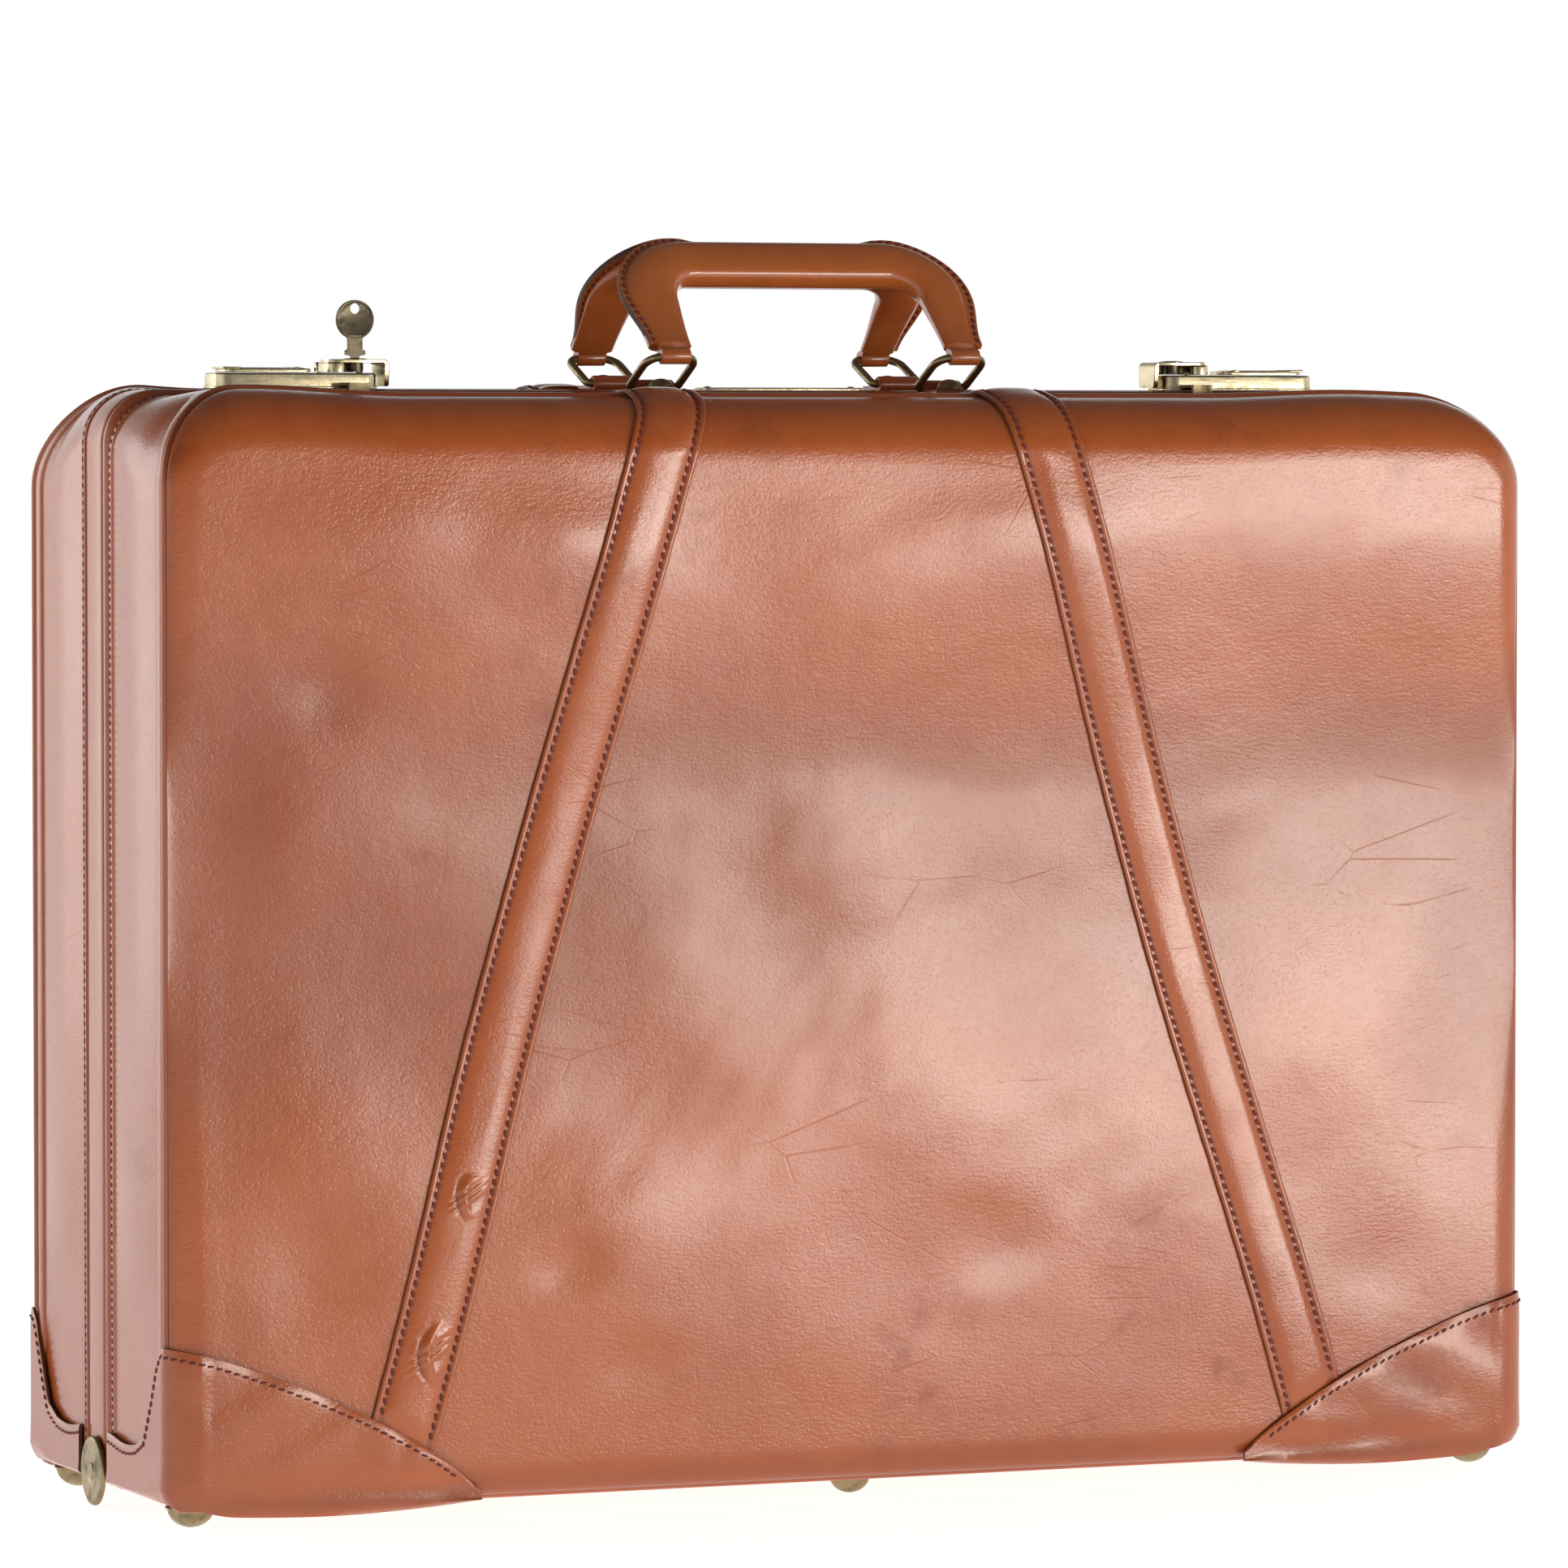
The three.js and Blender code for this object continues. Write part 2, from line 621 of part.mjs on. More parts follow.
for (const [half, side, bar, surface] of [
  ['front', -1, FRONT_BAR, FRONT_TOP_Z],
  ['back', 1, BACK_BAR, BACK_TOP_Z],
]) {
  for (const [name, hand] of HANDS) {
    placeRing(`${half}_ring_${name}`, hand, bar, side);
    add(`${half}_chape_${name}`, chape(hand, bar, side, surface - 0.9), leather());
    const rivetZ = surface + GAP + 0.2 + CHAPE.thick + GAP;
    const y = bar[0] + side * RIVET_OUT;
    add(`${half}_rivet_${name}`, dome(RIVET_R, 4.2, 2, hand * HANDLE_X, y, rivetZ, true), agedBrass());
  }
  placeHandle(`${half}_handle`, bar, side);
}
add('top_plate', plate(74, 14, 1.2, 3, 0, 3, BACK_TOP_Z + 0.9), brass());

// ---- locks -----------------------------------------------------------------
// u runs outward along the case from the inner end of the lock.
const LOCK_BASE_Z = BACK_TOP_Z + 1.3;
const PIVOT = { y: 14.2, z: LOCK_TOP_Z + 2.5, r: 2.1, pin: 1 };
const KEYHOLE = { u: 7.7, y: 3 };
const TONGUE = { u: 13, width: 9, z: LOCK_BASE_Z + 1.2, thick: 1.2 };
for (const [name, hand] of HANDS) {
  const inner = LOCK_CENTRE[name] - (hand * LOCK_LENGTH) / 2;
  const at = (u) => inner + hand * u;
  const slab = (u0, u1, y0, y1, z0, z1) =>
    box(u1 - u0, y1 - y0, z1 - z0, at((u0 + u1) / 2), (y0 + y1) / 2, (z0 + z1) / 2);
  const caseBody = plate(
    LOCK_LENGTH, LOCK_DEPTH, LOCK_TOP_Z - LOCK_BASE_Z, 6.5, LOCK_CENTRE[name], LOCK_Y, LOCK_BASE_Z,
  );
  const lugs = [[0.6, 3.6], [18.4, 21.4]].map(([u0, u1]) =>
    slab(u0, u1, PIVOT.y - 1.9, PIVOT.y + 1.8, LOCK_TOP_Z - 1, PIVOT.z + 1.9));
  const pin = rod(PIVOT.pin, 18, 'x', at(11), PIVOT.y, PIVOT.z, 8);
  add(
    `lock_case_${name}`,
    cut(
      join(caseBody, ...lugs, pin),
      slab(TONGUE.u - 5.5, TONGUE.u + 5.5, -30, 0, TONGUE.z - 0.8, TONGUE.z + TONGUE.thick + 0.8),
      slab(34, 54, LOCK_Y - 4, LOCK_Y + 4, LOCK_TOP_Z - 4, LOCK_TOP_Z + 1),
    ),
    brass(),
  );
  const slideTop = LOCK_TOP_Z + 2.5;
  const slidePlate = plate(SLIDE.length, SLIDE.width, slideTop - LOCK_TOP_Z - GAP, 4, at(SLIDE.u), LOCK_Y,
    LOCK_TOP_Z + GAP);
  const stem = slab(34.6, 46, LOCK_Y - 3.6, LOCK_Y + 3.6, LOCK_TOP_Z - 3.4, LOCK_TOP_Z + 1);
  add(`lock_slide_${name}`, fromSolid(join(slidePlate, stem)), brass());

  const lower = plate(22, HASP_DEPTH, 3.1, 7, at(11.2), LOCK_Y - 1, LOCK_TOP_Z + GAP);
  const upper = plate(HASP_LENGTH, HASP_DEPTH - 2, 2.2, 5, at(8.4), LOCK_Y - 1, HASP_TOP_Z - 2.2);
  const leg = slab(-4.6, -2.2, LOCK_Y - 8.5, LOCK_Y + 6.5, LOCK_BASE_Z + 0.9, HASP_TOP_Z - 0.8);
  const knuckle = rod(PIVOT.r, 13.6, 'x', at(11), PIVOT.y, PIVOT.z, 10);
  const web = slab(4.2, 17.8, LOCK_Y + 5, PIVOT.y, PIVOT.z - 1.4, PIVOT.z + 1.6);
  add(
    `hasp_${name}`,
    cut(
      join(lower, upper, leg, knuckle, web),
      rod(PIVOT.pin + 0.45, 20, 'x', at(11), PIVOT.y, PIVOT.z, 8),
      rod(PLUG_R + 0.35, 12, 'z', at(KEYHOLE.u), KEYHOLE.y, LOCK_TOP_Z + 5, 12),
    ),
    brass(),
  );
  const plug = rod(PLUG_R, HASP_TOP_Z - LOCK_TOP_Z - 0.5, 'z', at(KEYHOLE.u), KEYHOLE.y,
    (HASP_TOP_Z + LOCK_TOP_Z) / 2 + 0.15, 12);
  const keyway = box(4.4, 1.9, 10, at(KEYHOLE.u), KEYHOLE.y, HASP_TOP_Z + 2.4);
  add(`lock_plug_${name}`, cut(toSolid(plug), keyway), nickel());

  // The strike lies on the lid edge and its tongue enters the front of the lock case.
  add(
    `strike_${name}`,
    fromSolid(join(
      slab(TONGUE.u - 8, TONGUE.u + 8, -34, SPLIT_Y - 2, FRONT_TOP_Z + 0.3, FRONT_TOP_Z + 1.1),
      slab(TONGUE.u - 4.5, TONGUE.u + 4.5, -18, SPLIT_Y - 2, FRONT_TOP_Z + 0.5, TONGUE.z + TONGUE.thick),
      slab(TONGUE.u - 4.5, TONGUE.u + 4.5, -18, -3, TONGUE.z, TONGUE.z + TONGUE.thick),
    )),
    brass(),
  );
}

const keyX = LOCK_CENTRE.left + LOCK_LENGTH / 2 - KEYHOLE.u;
const bow = fromSolid(join(
  rod(KEY.bow, 2, 'y', keyX, KEYHOLE.y, KEY.bowZ, 20),
  box(6.4, 2, 8, keyX, KEYHOLE.y, HASP_TOP_Z + 5.6),
  box(3.6, 1.4, 7, keyX, KEYHOLE.y, HASP_TOP_Z + 1.3),
));
add(
  'key',
  cut(toSolid(bow), rod(2.3, 6, 'y', keyX, KEYHOLE.y, KEY.bowZ + 4.6, 10)),
  nickel(),
);

export default root;
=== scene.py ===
"""A leather-covered two-handled case that stands on its hinge edge.

Every shape is worked out in millimetres in the CAD's own frame (X along the case, the lid
toward -Y, Z up) and turned into metres where the mesh is made.
"""

import math

import bmesh
import bpy
import numpy as np
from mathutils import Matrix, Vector

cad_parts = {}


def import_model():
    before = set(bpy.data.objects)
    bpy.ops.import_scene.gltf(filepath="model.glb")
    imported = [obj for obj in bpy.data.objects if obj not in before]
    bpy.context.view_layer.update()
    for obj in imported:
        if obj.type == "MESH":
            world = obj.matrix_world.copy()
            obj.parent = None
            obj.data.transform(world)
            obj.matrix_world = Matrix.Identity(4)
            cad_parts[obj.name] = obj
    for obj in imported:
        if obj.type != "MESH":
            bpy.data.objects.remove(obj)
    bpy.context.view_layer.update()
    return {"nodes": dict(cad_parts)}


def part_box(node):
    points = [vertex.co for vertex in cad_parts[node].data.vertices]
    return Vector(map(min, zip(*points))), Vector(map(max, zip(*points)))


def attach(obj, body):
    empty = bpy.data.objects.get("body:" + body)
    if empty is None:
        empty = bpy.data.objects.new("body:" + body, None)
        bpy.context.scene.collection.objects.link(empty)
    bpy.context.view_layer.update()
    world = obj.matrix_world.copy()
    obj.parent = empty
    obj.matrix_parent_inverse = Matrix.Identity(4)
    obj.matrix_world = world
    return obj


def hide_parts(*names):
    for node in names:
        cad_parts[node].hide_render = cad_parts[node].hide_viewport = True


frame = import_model()
MM = 0.001

# ---- driving sizes, as in the CAD ----
HALF_LENGTH = 305
BASE_Z = 9
TOP_Z = {"front": 460.5, "back": 462.5}
SIDE = {"front": -1, "back": 1}
BODY = {"front": "lid", "back": "back_half"}
HANDS = {"left": -1, "right": 1}
PIPE_Y = 87
TOP_SETBACK = 25
FACE_BULGE = 9
FACE_Y = PIPE_Y + FACE_BULGE
SIDE_ROLL = 14
TOP_ROLL = 25
PANEL_CROWN = 1.2
BASE_RADIUS = 8
WALL = 3
PIPE_R = 1.85
SEAM_STEP = 2  # how far outside its seam the skin of a face starts
CREST_Y = PIPE_Y - TOP_SETBACK

# Radius of the two upper corners: near the split and from the piping outward.
CORNER = {"front": ((15, 62), (24, 38)), "back": ((21, 62), (22, 40))}
# Where the crest has been knocked up: x, reach, height.
CREST = {"front": ((-262, 68, 3.0), (232, 64, 1.8)), "back": ((-284, 46, 2.2),)}

SPLIT_EDGE = {"front": 15, "back": 21.1}
BEAD_Y = -9.4
BEAD_R = 3.6
BAND_Y = (-5.5, 15.5)
WELT_Y = (15.8, 20.8)

STRAP_TOP_X = 80
STRAP_SLOPE = 0.296
STRAP_START = {"front": 36, "back": 50}

PATCH_RISE = 66
PATCH_RUN = 133
PATCH_THICK = 1.6
PATCH_HANG = 3.9
PATCH_GAP_Y = {"front": 16, "back": 21.8}

HANDLE_X = 66
BAR = {"front": (-17, 464.3), "back": (30, 466.3)}
RING_LENGTH = 28.6
RING_WIDTH = 22
RING_WIRE = 1.7
RING_TOP_Z = 477.5
HANDLE_LEAN = 45.8

# PIN_IN and PLUG_IN are measured from the inner end of a lock; PIVOT is y and z of the hasp's pin.
LOCK_CENTRE = {"left": -220, "right": 212.8}
LOCK_LENGTH = 72
LOCK_DEPTH = 24
LOCK_Y = 3.5
LOCK_BASE_Z = 463.8
LOCK_TOP_Z = 470.3
HASP_TOP_Z = 476
PIVOT = (14.2, 472.8)
PIN_IN = 11
PLUG_IN = 7.7
PLUG_Y = 3

FOOT = {"left": (-291, 10.5), "middle": (0, 9.5), "right": (291, 10.5)}  # x and radius
FOOT_Y = 74.6
DISC_CENTRE = (306.4, 4, 15)


# ---- mesh helpers ----
def quads(count, size, closed=False):
    """Faces between rings of size points each, the last ring joined to the first if closed."""
    faces = []
    for i in range(count if closed else count - 1):
        here, there = i * size, (i + 1) % count * size
        for j in range(size):
            k = (j + 1) % size
            faces.append((here + j, here + k, there + k, there + j))
    return faces


class Shape:
    """Points in millimetres and faces, gathered part by part. finish picks the material."""

    def __init__(self):
        self.points = []
        self.faces = []
        self.finishes = []

    def add(self, points, faces, finishes=None):
        start = len(self.points)
        self.points.extend(np.asarray(points, float).reshape(-1, 3).tolist())
        self.faces.extend([tuple(start + i for i in face) for face in faces])
        self.finishes.extend(finishes or [0] * len(faces))
        return self

    def skin(self, rings, closed=False, finish=0, columns=None):
        """A skin over rings of equal count; columns gives a finish for each column of faces."""
        rings = np.asarray(rings, float)
        count, size = rings.shape[:2]
        faces = quads(count, size, closed)
        finishes = [columns[i % size] if columns else finish for i in range(len(faces))]
        if not closed:
            faces += [tuple(range(size))[::-1], tuple(range((count - 1) * size, count * size))]
            finishes += [finish, finish]
        return self.add(rings, faces, finishes)

    def dish(self, rings, middle):
        """An open skin over closed rings that ends in a point."""
        rings = np.asarray(rings, float)
        count, size = rings.shape[:2]
        last = (count - 1) * size
        faces = quads(count, size)
        faces += [(last + j, last + (j + 1) % size, count * size) for j in range(size)]
        return self.add(np.vstack([rings.reshape(-1, 3), [middle]]), faces)


def piece(name, shape, body, materials, replaces=(), sharp=40):
    """Makes the object, faces outward, smooth but for edges sharper than the angle.
    """
    mesh = bpy.data.meshes.new(name)
    mesh.from_pydata([(x * MM, y * MM, z * MM) for x, y, z in shape.points], [], shape.faces)
    materials = materials if isinstance(materials, list) else [materials]
    for material in materials:
        mesh.materials.append(material)
    mesh.polygons.foreach_set("material_index", shape.finishes)
    work = bmesh.new()
    work.from_mesh(mesh)
    bmesh.ops.recalc_face_normals(work, faces=work.faces)
    work.to_mesh(mesh)
    work.free()
    mesh.shade_smooth()
    mesh.set_sharp_from_angle(angle=math.radians(sharp))
    made = bpy.data.objects.new(name, mesh)
    bpy.context.scene.collection.objects.link(made)
    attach(made, body)
    if replaces:
        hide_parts(*replaces)
    return made


def thicken(made, thickness, offset):
    """Gives an open skin its thickness: inward if offset is -1, both ways if it is 0."""
    solid = made.modifiers.new("thickness", "SOLIDIFY")
    solid.thickness = thickness * MM
    solid.offset = offset


def measure(made, axis):
    """x, y or z of every point of a piece in millimetres, for axis 0, 1 or 2."""
    return np.array([v.co[axis] for v in made.data.vertices]) / MM


def unit(v):
    v = np.asarray(v, float)
    return v / np.maximum(np.linalg.norm(v, axis=-1, keepdims=True), 1e-9)


def ease(t):
    t = np.clip(t, 0, 1)
    return t * t * (3 - 2 * t)


def bump(distance, width):
    """1 at the middle and 0 from width outward, smoothly."""
    return ease(1 - np.abs(distance) / width)


def ripple(x, z, wavelength, seed):
    """A smooth random field of about unit height, as a sum of plane waves."""
    draw = np.random.default_rng(seed)
    waves = 7
    total = 0
    for _ in range(waves):
        angle, phase = draw.uniform(0, 2 * np.pi, 2)
        k = 2 * np.pi / (wavelength * draw.uniform(0.7, 1.5))
        total = total + np.cos(k * (x * np.cos(angle) + z * np.sin(angle)) + phase)
    return total / np.sqrt(2 * waves)


def arc(first, last, count):
    """Cosines and sines at equal steps of an angle in degrees, both ends included."""
    angles = np.radians(np.linspace(first, last, count))
    return [(math.cos(a), math.sin(a)) for a in angles]


def spread(at, lengths, values):
    """Rows of values at distances along a path."""
    return np.stack([np.interp(at, lengths, values[:, k]) for k in range(3)], 1)


def resample(path, step):
    """Points, unit tangents and distances at equal steps along a path of points."""
    path = np.asarray(path, float)
    lengths = np.r_[0, np.cumsum(np.linalg.norm(np.diff(path, axis=0), axis=1))]
    count = max(int(lengths[-1] / step), 2)
    at = (np.arange(count) + 0.5) * lengths[-1] / count
    reach = 0.5
    ahead, behind = spread(at + reach, lengths, path), spread(at - reach, lengths, path)
    return spread(at, lengths, path), unit(ahead - behind), at, lengths


def stitches(shape, path, normals, pitch=3.9, length=3.0, radius=0.42, slant=0.12):
    """A row of sewn stitches on a path; each one arches out of the leather and back in."""
    points, tangents, at, lengths = resample(path, pitch)
    up = unit(spread(at, lengths, np.asarray(normals, float)))
    for point, along, out in zip(points, tangents, up):
        across = unit(np.cross(out, along))
        heading = unit(along + slant * across)
        rings = []
        for t in (-1, -0.72, 0, 0.72, 1):
            centre = point + heading * t * length / 2 + out * radius * (0.45 - 1.15 * t**4)
            girth = radius * (1 - 0.45 * t**4)
            rings.append([
                centre + girth * (math.cos(a) * across * 1.15 + math.sin(a) * out)
                for a in np.arange(6) * math.pi / 3
            ])
        shape.skin(rings)


def tube(shape, path, radius, sides, up, closed=False):
    """A round wire along a path that stays clear of the direction up."""
    path = np.asarray(path, float)
    ahead = np.roll(path, -1, 0)
    behind = np.roll(path, 1, 0)
    if not closed:
        ahead[-1] = path[-1]
        behind[0] = path[0]
    along = unit(ahead - behind)
    side = unit(np.cross(np.broadcast_to(up, along.shape), along))
    over = np.cross(along, side)
    turns = np.arange(sides) * 2 * np.pi / sides
    rings = np.stack([path + radius * (np.cos(a) * side + np.sin(a) * over) for a in turns], 1)
    shape.skin(rings, closed=closed)


def turned(shape, profile, centre, axis, sides=40):
    """A shape of revolution: profile is [(radius, height along axis), ...]."""
    axis = unit(axis)
    first = unit(np.cross(axis, (0.3, 0.9, 0.2)))
    second = np.cross(axis, first)
    turns = np.arange(sides) * 2 * np.pi / sides
    rings = []
    for radius, height in profile:
        spot = np.asarray(centre, float) + axis * height
        rings.append([
            spot + max(radius, 0.02) * (math.cos(a) * first + math.sin(a) * second) for a in turns
        ])
    shape.skin(rings)


def rounded(width, depth, radius, steps=6):
    """Points round a rectangle with rounded corners, about its middle."""
    radius = min(radius, width / 2 - 0.01, depth / 2 - 0.01)
    points = []
    for sx, sy, start in ((1, 1, 0), (-1, 1, 90), (-1, -1, 180), (1, -1, 270)):
        for i in range(steps + 1):
            a = math.radians(start + 90 * i / steps)
            points.append((
                sx * (width / 2 - radius) + radius * math.cos(a),
                sy * (depth / 2 - radius) + radius * math.sin(a),
            ))
    return np.array(points)


def plate(shape, width, depth, radius, low, high, x, y, edge=0.5, steps=6, crown=0.0):
    """A plate with rounded corners and a rounded upper edge."""
    rings = []
    bevel = 0.15
    levels = [(bevel, low), (0, low + bevel)]
    levels += [(edge * (1 - c), high - edge + edge * s) for c, s in arc(0, 90, 5)]
    for inset, z in levels:
        outline = rounded(width - 2 * inset, depth - 2 * inset, max(radius - inset, 0.05), steps)
        rings.append([(x + px, y + py, z) for px, py in outline])
    for share in (0.7, 0.35):
        outline = rounded(
            (width - 2 * edge) * share, (depth - 2 * edge) * share, max(radius - edge, 0.05) * share,
            steps,
        )
        rings.append([(x + px, y + py, high + crown * (1 - share**2)) for px, py in outline])
    shape.skin(rings)


# ---- materials ----
def feed(tree, socket, value):
    """Sets an input to a value, or links it to the socket that is given."""
    if isinstance(value, bpy.types.NodeSocket):
        tree.links.new(value, socket)
    elif socket.type == "RGBA":
        socket.default_value = (*value, 1)
    else:
        socket.default_value = value


def add_node(tree, kind, inputs=None, **settings):
    made = tree.nodes.new(kind)
    for key, value in settings.items():
        setattr(made, key, value)
    for key, value in (inputs or {}).items():
        feed(tree, made.inputs[key], value)
    return made


class Paint:
    """A node material with short calls for the nodes that the finishes share."""

    def __init__(self, name, **settings):
        self.material = bpy.data.materials.new(name)
        self.material.use_nodes = True
        self.tree = self.material.node_tree
        self.shader = self.tree.nodes["Principled BSDF"]
        for key, value in settings.items():
            self.set(key.replace("_", " "), value)
        self.place = self.node("ShaderNodeTexCoord").outputs["Object"]

    def set(self, name, value):
        feed(self.tree, self.shader.inputs[name], value)

    def node(self, kind, inputs=None, **settings):
        return add_node(self.tree, kind, inputs, **settings)

    def stretched(self, scale, turn=(0, 0, 0)):
        inputs = {"Vector": self.place, "Scale": scale, "Rotation": turn}
        return self.node("ShaderNodeMapping", inputs).outputs["Vector"]

    def noise(self, scale, detail=4.0, rough=0.55, warp=0.0, vector=None):
        made = self.node("ShaderNodeTexNoise", {
            "Vector": vector or self.place, "Scale": scale, "Detail": detail, "Roughness": rough,
            "Distortion": warp,
        })
        return made.outputs["Fac"]

    def cells(self, scale, feature="F1", vector=None):
        inputs = {"Vector": vector or self.place, "Scale": scale}
        return self.node("ShaderNodeTexVoronoi", inputs, feature=feature).outputs["Distance"]

    def span(self, value, low, high, to_low=0.0, to_high=1.0):
        made = self.node("ShaderNodeMapRange", {
            "Value": value, "From Min": low, "From Max": high, "To Min": to_low, "To Max": to_high,
        })
        return made.outputs["Result"]

    def math(self, operation, first, second):
        return self.node("ShaderNodeMath", {0: first, 1: second}, operation=operation).outputs[0]

    def mix(self, factor, first, second):
        made = self.node("ShaderNodeMix", data_type="RGBA")
        sockets = {socket.identifier: socket for socket in made.inputs}
        feed(self.tree, sockets["Factor_Float"], factor)
        feed(self.tree, sockets["A_Color"], first)
        feed(self.tree, sockets["B_Color"], second)
        return next(s for s in made.outputs if s.identifier == "Result_Color")

    def attribute(self, name):
        return self.node("ShaderNodeAttribute", attribute_name=name).outputs["Fac"]

    def relief(self, height, distance, onto=None):
        inputs = {"Height": height, "Distance": distance}
        if onto:
            inputs["Normal"] = onto
        made = self.node("ShaderNodeBump", inputs)
        self.set("Normal", made.outputs["Normal"])
        return made.outputs["Normal"]


def leather(name, base, dark, pale, rough, grain=0.00014, coat=0.3, wear=1.0):
    """Waxed bridle leather: cloudy colour, a fine pressed grain, scuffs, scratches, and stored grime
    that on the puckered strap also carries painted shade in the folds.
    """
    paint = Paint(name, Coat_Weight=coat, Coat_Roughness=0.13)
    cloud = paint.noise(7, detail=5, warp=0.6)
    speckle = paint.noise(85, detail=3)
    colour = paint.mix(paint.span(cloud, 0.38, 0.68), base, dark)
    colour = paint.mix(paint.span(speckle, 0.35, 0.75, 0.0, 0.35), colour, pale)
    scuff = paint.math(
        "MULTIPLY",
        paint.span(paint.noise(24, detail=8, rough=0.7), 0.56, 0.72),
        paint.span(paint.noise(5, detail=2), 0.48, 0.62),
    )
    scuff = paint.math("MULTIPLY", scuff, 0.55 * wear)
    # a sooty dark for scuffs and grime, also used for the painted shade of the strap's folds
    soot_and_shade = tuple(0.45 * c for c in dark)
    colour = paint.mix(scuff, colour, soot_and_shade)
    lines = paint.stretched((1.0, 1.0, 2.6), (0.0, 0.5, 0.0))
    scratch = paint.cells(16, "DISTANCE_TO_EDGE", lines)
    scratch = paint.math(
        "MULTIPLY",
        paint.span(scratch, 0.0, 0.012, 1.0, 0.0),
        paint.span(paint.noise(13, detail=4), 0.56, 0.7),
    )
    colour = paint.mix(paint.math("MULTIPLY", scratch, 0.5 * wear), colour, pale)
    # the stored grime darkens toward soot; on the puckered strap it also carries painted shade in the
    # fold troughs
    grime_and_shade = paint.attribute("grime_and_shade")
    colour = paint.mix(paint.math("MULTIPLY", grime_and_shade, 0.8), colour, soot_and_shade)
    paint.set("Base Color", colour)
    gloss = paint.span(paint.noise(11, detail=6, rough=0.6), 0.3, 0.75, rough - 0.07, rough + 0.1)
    gloss = paint.math("ADD", gloss, paint.math("MULTIPLY", scuff, 0.5))
    paint.set("Roughness", paint.math("ADD", gloss, paint.math("MULTIPLY", grime_and_shade, 0.1)))
    grit = paint.noise(760, detail=4, rough=0.65, vector=paint.stretched((0.4, 0.4, 1.0)))
    pores = paint.span(paint.cells(620), 0.0, 0.5)
    height = paint.math("ADD", grit, paint.math("MULTIPLY", pores, 0.35))
    fine = paint.relief(height, grain)
    dents = paint.math(
        "SUBTRACT", paint.noise(60, detail=4, rough=0.5), paint.math("MULTIPLY", scratch, 0.6 * wear)
    )
    paint.relief(dents, 0.0002, onto=fine)
    return paint.material


def metal(name, base, dark, rough, tarnish, spots=(0.45, 0.7)):
    """Plated or bare metal with fine brushing, tarnish in blotches and small pits."""
    paint = Paint(name, Metallic=1.0)
    blotch = paint.noise(140, detail=6, rough=0.65)
    cover = paint.span(blotch, *spots, 0.0, tarnish)
    paint.set("Base Color", paint.mix(cover, base, dark))
    brushed = paint.noise(900, detail=2, vector=paint.stretched((0.08, 1.0, 1.0)))
    gloss = paint.span(brushed, 0.2, 0.8, rough - 0.05, rough + 0.07)
    paint.set("Roughness", paint.math("ADD", gloss, paint.math("MULTIPLY", cover, 0.35)))
    paint.relief(paint.math("ADD", brushed, paint.math("MULTIPLY", blotch, 0.8)), 0.00003)
    return paint.material


def fibrous(name, base, dark, rough, scale, detail, depth, tangle=0.55):
    """Thread, or the cut edge of leather, dyed and burnished."""
    paint = Paint(name, Roughness=rough)
    fibre = paint.noise(scale, detail=detail, rough=tangle)
    paint.set("Base Color", paint.mix(paint.span(fibre, 0.3, 0.7), base, dark))
    paint.relief(fibre, depth)
    return paint.material


def cloth(name, base, dark):
    """A closely woven lining with a soft watered figure."""
    paint = Paint(name, Roughness=0.75, Sheen_Weight=0.35, Sheen_Roughness=0.4)
    threads = []
    for turn in ((0.0, 0.0, 0.0), (0.0, math.pi / 2, 0.0)):
        inputs = {"Vector": paint.stretched((1, 1, 1), turn), "Scale": 320, "Distortion": 0.4}
        wave = paint.node("ShaderNodeTexWave", inputs, wave_type="BANDS", bands_direction="X")
        threads.append(wave.outputs["Fac"])
    weave = paint.math("MULTIPLY", *threads)
    figure = paint.noise(30, detail=3, warp=1.5, vector=paint.stretched((0.4, 1.0, 1.0)))
    colour = paint.mix(paint.span(figure, 0.35, 0.65), base, dark)
    paint.set("Base Color", paint.mix(paint.math("MULTIPLY", weave, 0.25), colour, dark))
    paint.relief(weave, 0.00025)
    return paint.material


def board(name, base, dark):
    """Painted fibreboard, a little rubbed."""
    paint = Paint(name, Roughness=0.5)
    rub = paint.noise(45, detail=7, rough=0.65)
    paint.set("Base Color", paint.mix(paint.span(rub, 0.4, 0.7), base, dark))
    paint.relief(paint.noise(700, detail=3), 0.0001)
    return paint.material


CASE_LEATHER = leather(
    "case_leather", (0.475, 0.110, 0.026), (0.40, 0.083, 0.0185), (0.53, 0.146, 0.041), rough=0.20,
)
HANDLE_LEATHER = leather(
    "handle_leather", (0.56, 0.150, 0.034), (0.46, 0.110, 0.024), (0.61, 0.18, 0.045),
    rough=0.22, grain=0.00003, coat=0.6, wear=0.35,
)
TRIM_LEATHER = leather(
    "trim_leather", (0.40, 0.092, 0.026), (0.31, 0.064, 0.018), (0.45, 0.125, 0.042),
    rough=0.30, grain=0.00007, coat=0.4, wear=0.5,
)
THREAD = fibrous("thread", (0.21, 0.034, 0.022), (0.085, 0.013, 0.010), 0.62, 900, 3, 0.0002)
RAW_EDGE = fibrous(
    "raw_edge", (0.15, 0.06, 0.034), (0.06, 0.026, 0.017), 0.6, 500, 5, 0.0003, tangle=0.7,
)
BRASS = metal("lock_brass", (0.66, 0.57, 0.37), (0.33, 0.27, 0.14), 0.20, 0.55, (0.45, 0.72))
AGED_BRASS = metal("aged_brass", (0.33, 0.265, 0.145), (0.13, 0.10, 0.055), 0.33, 0.8)
KEY_METAL = metal("key_metal", (0.19, 0.155, 0.10), (0.07, 0.055, 0.038), 0.42, 0.85)
LINING = cloth("lining_cloth", (0.33, 0.20, 0.10), (0.24, 0.14, 0.07))
BOARD = board("frame_board", (0.10, 0.045, 0.022), (0.05, 0.022, 0.012))


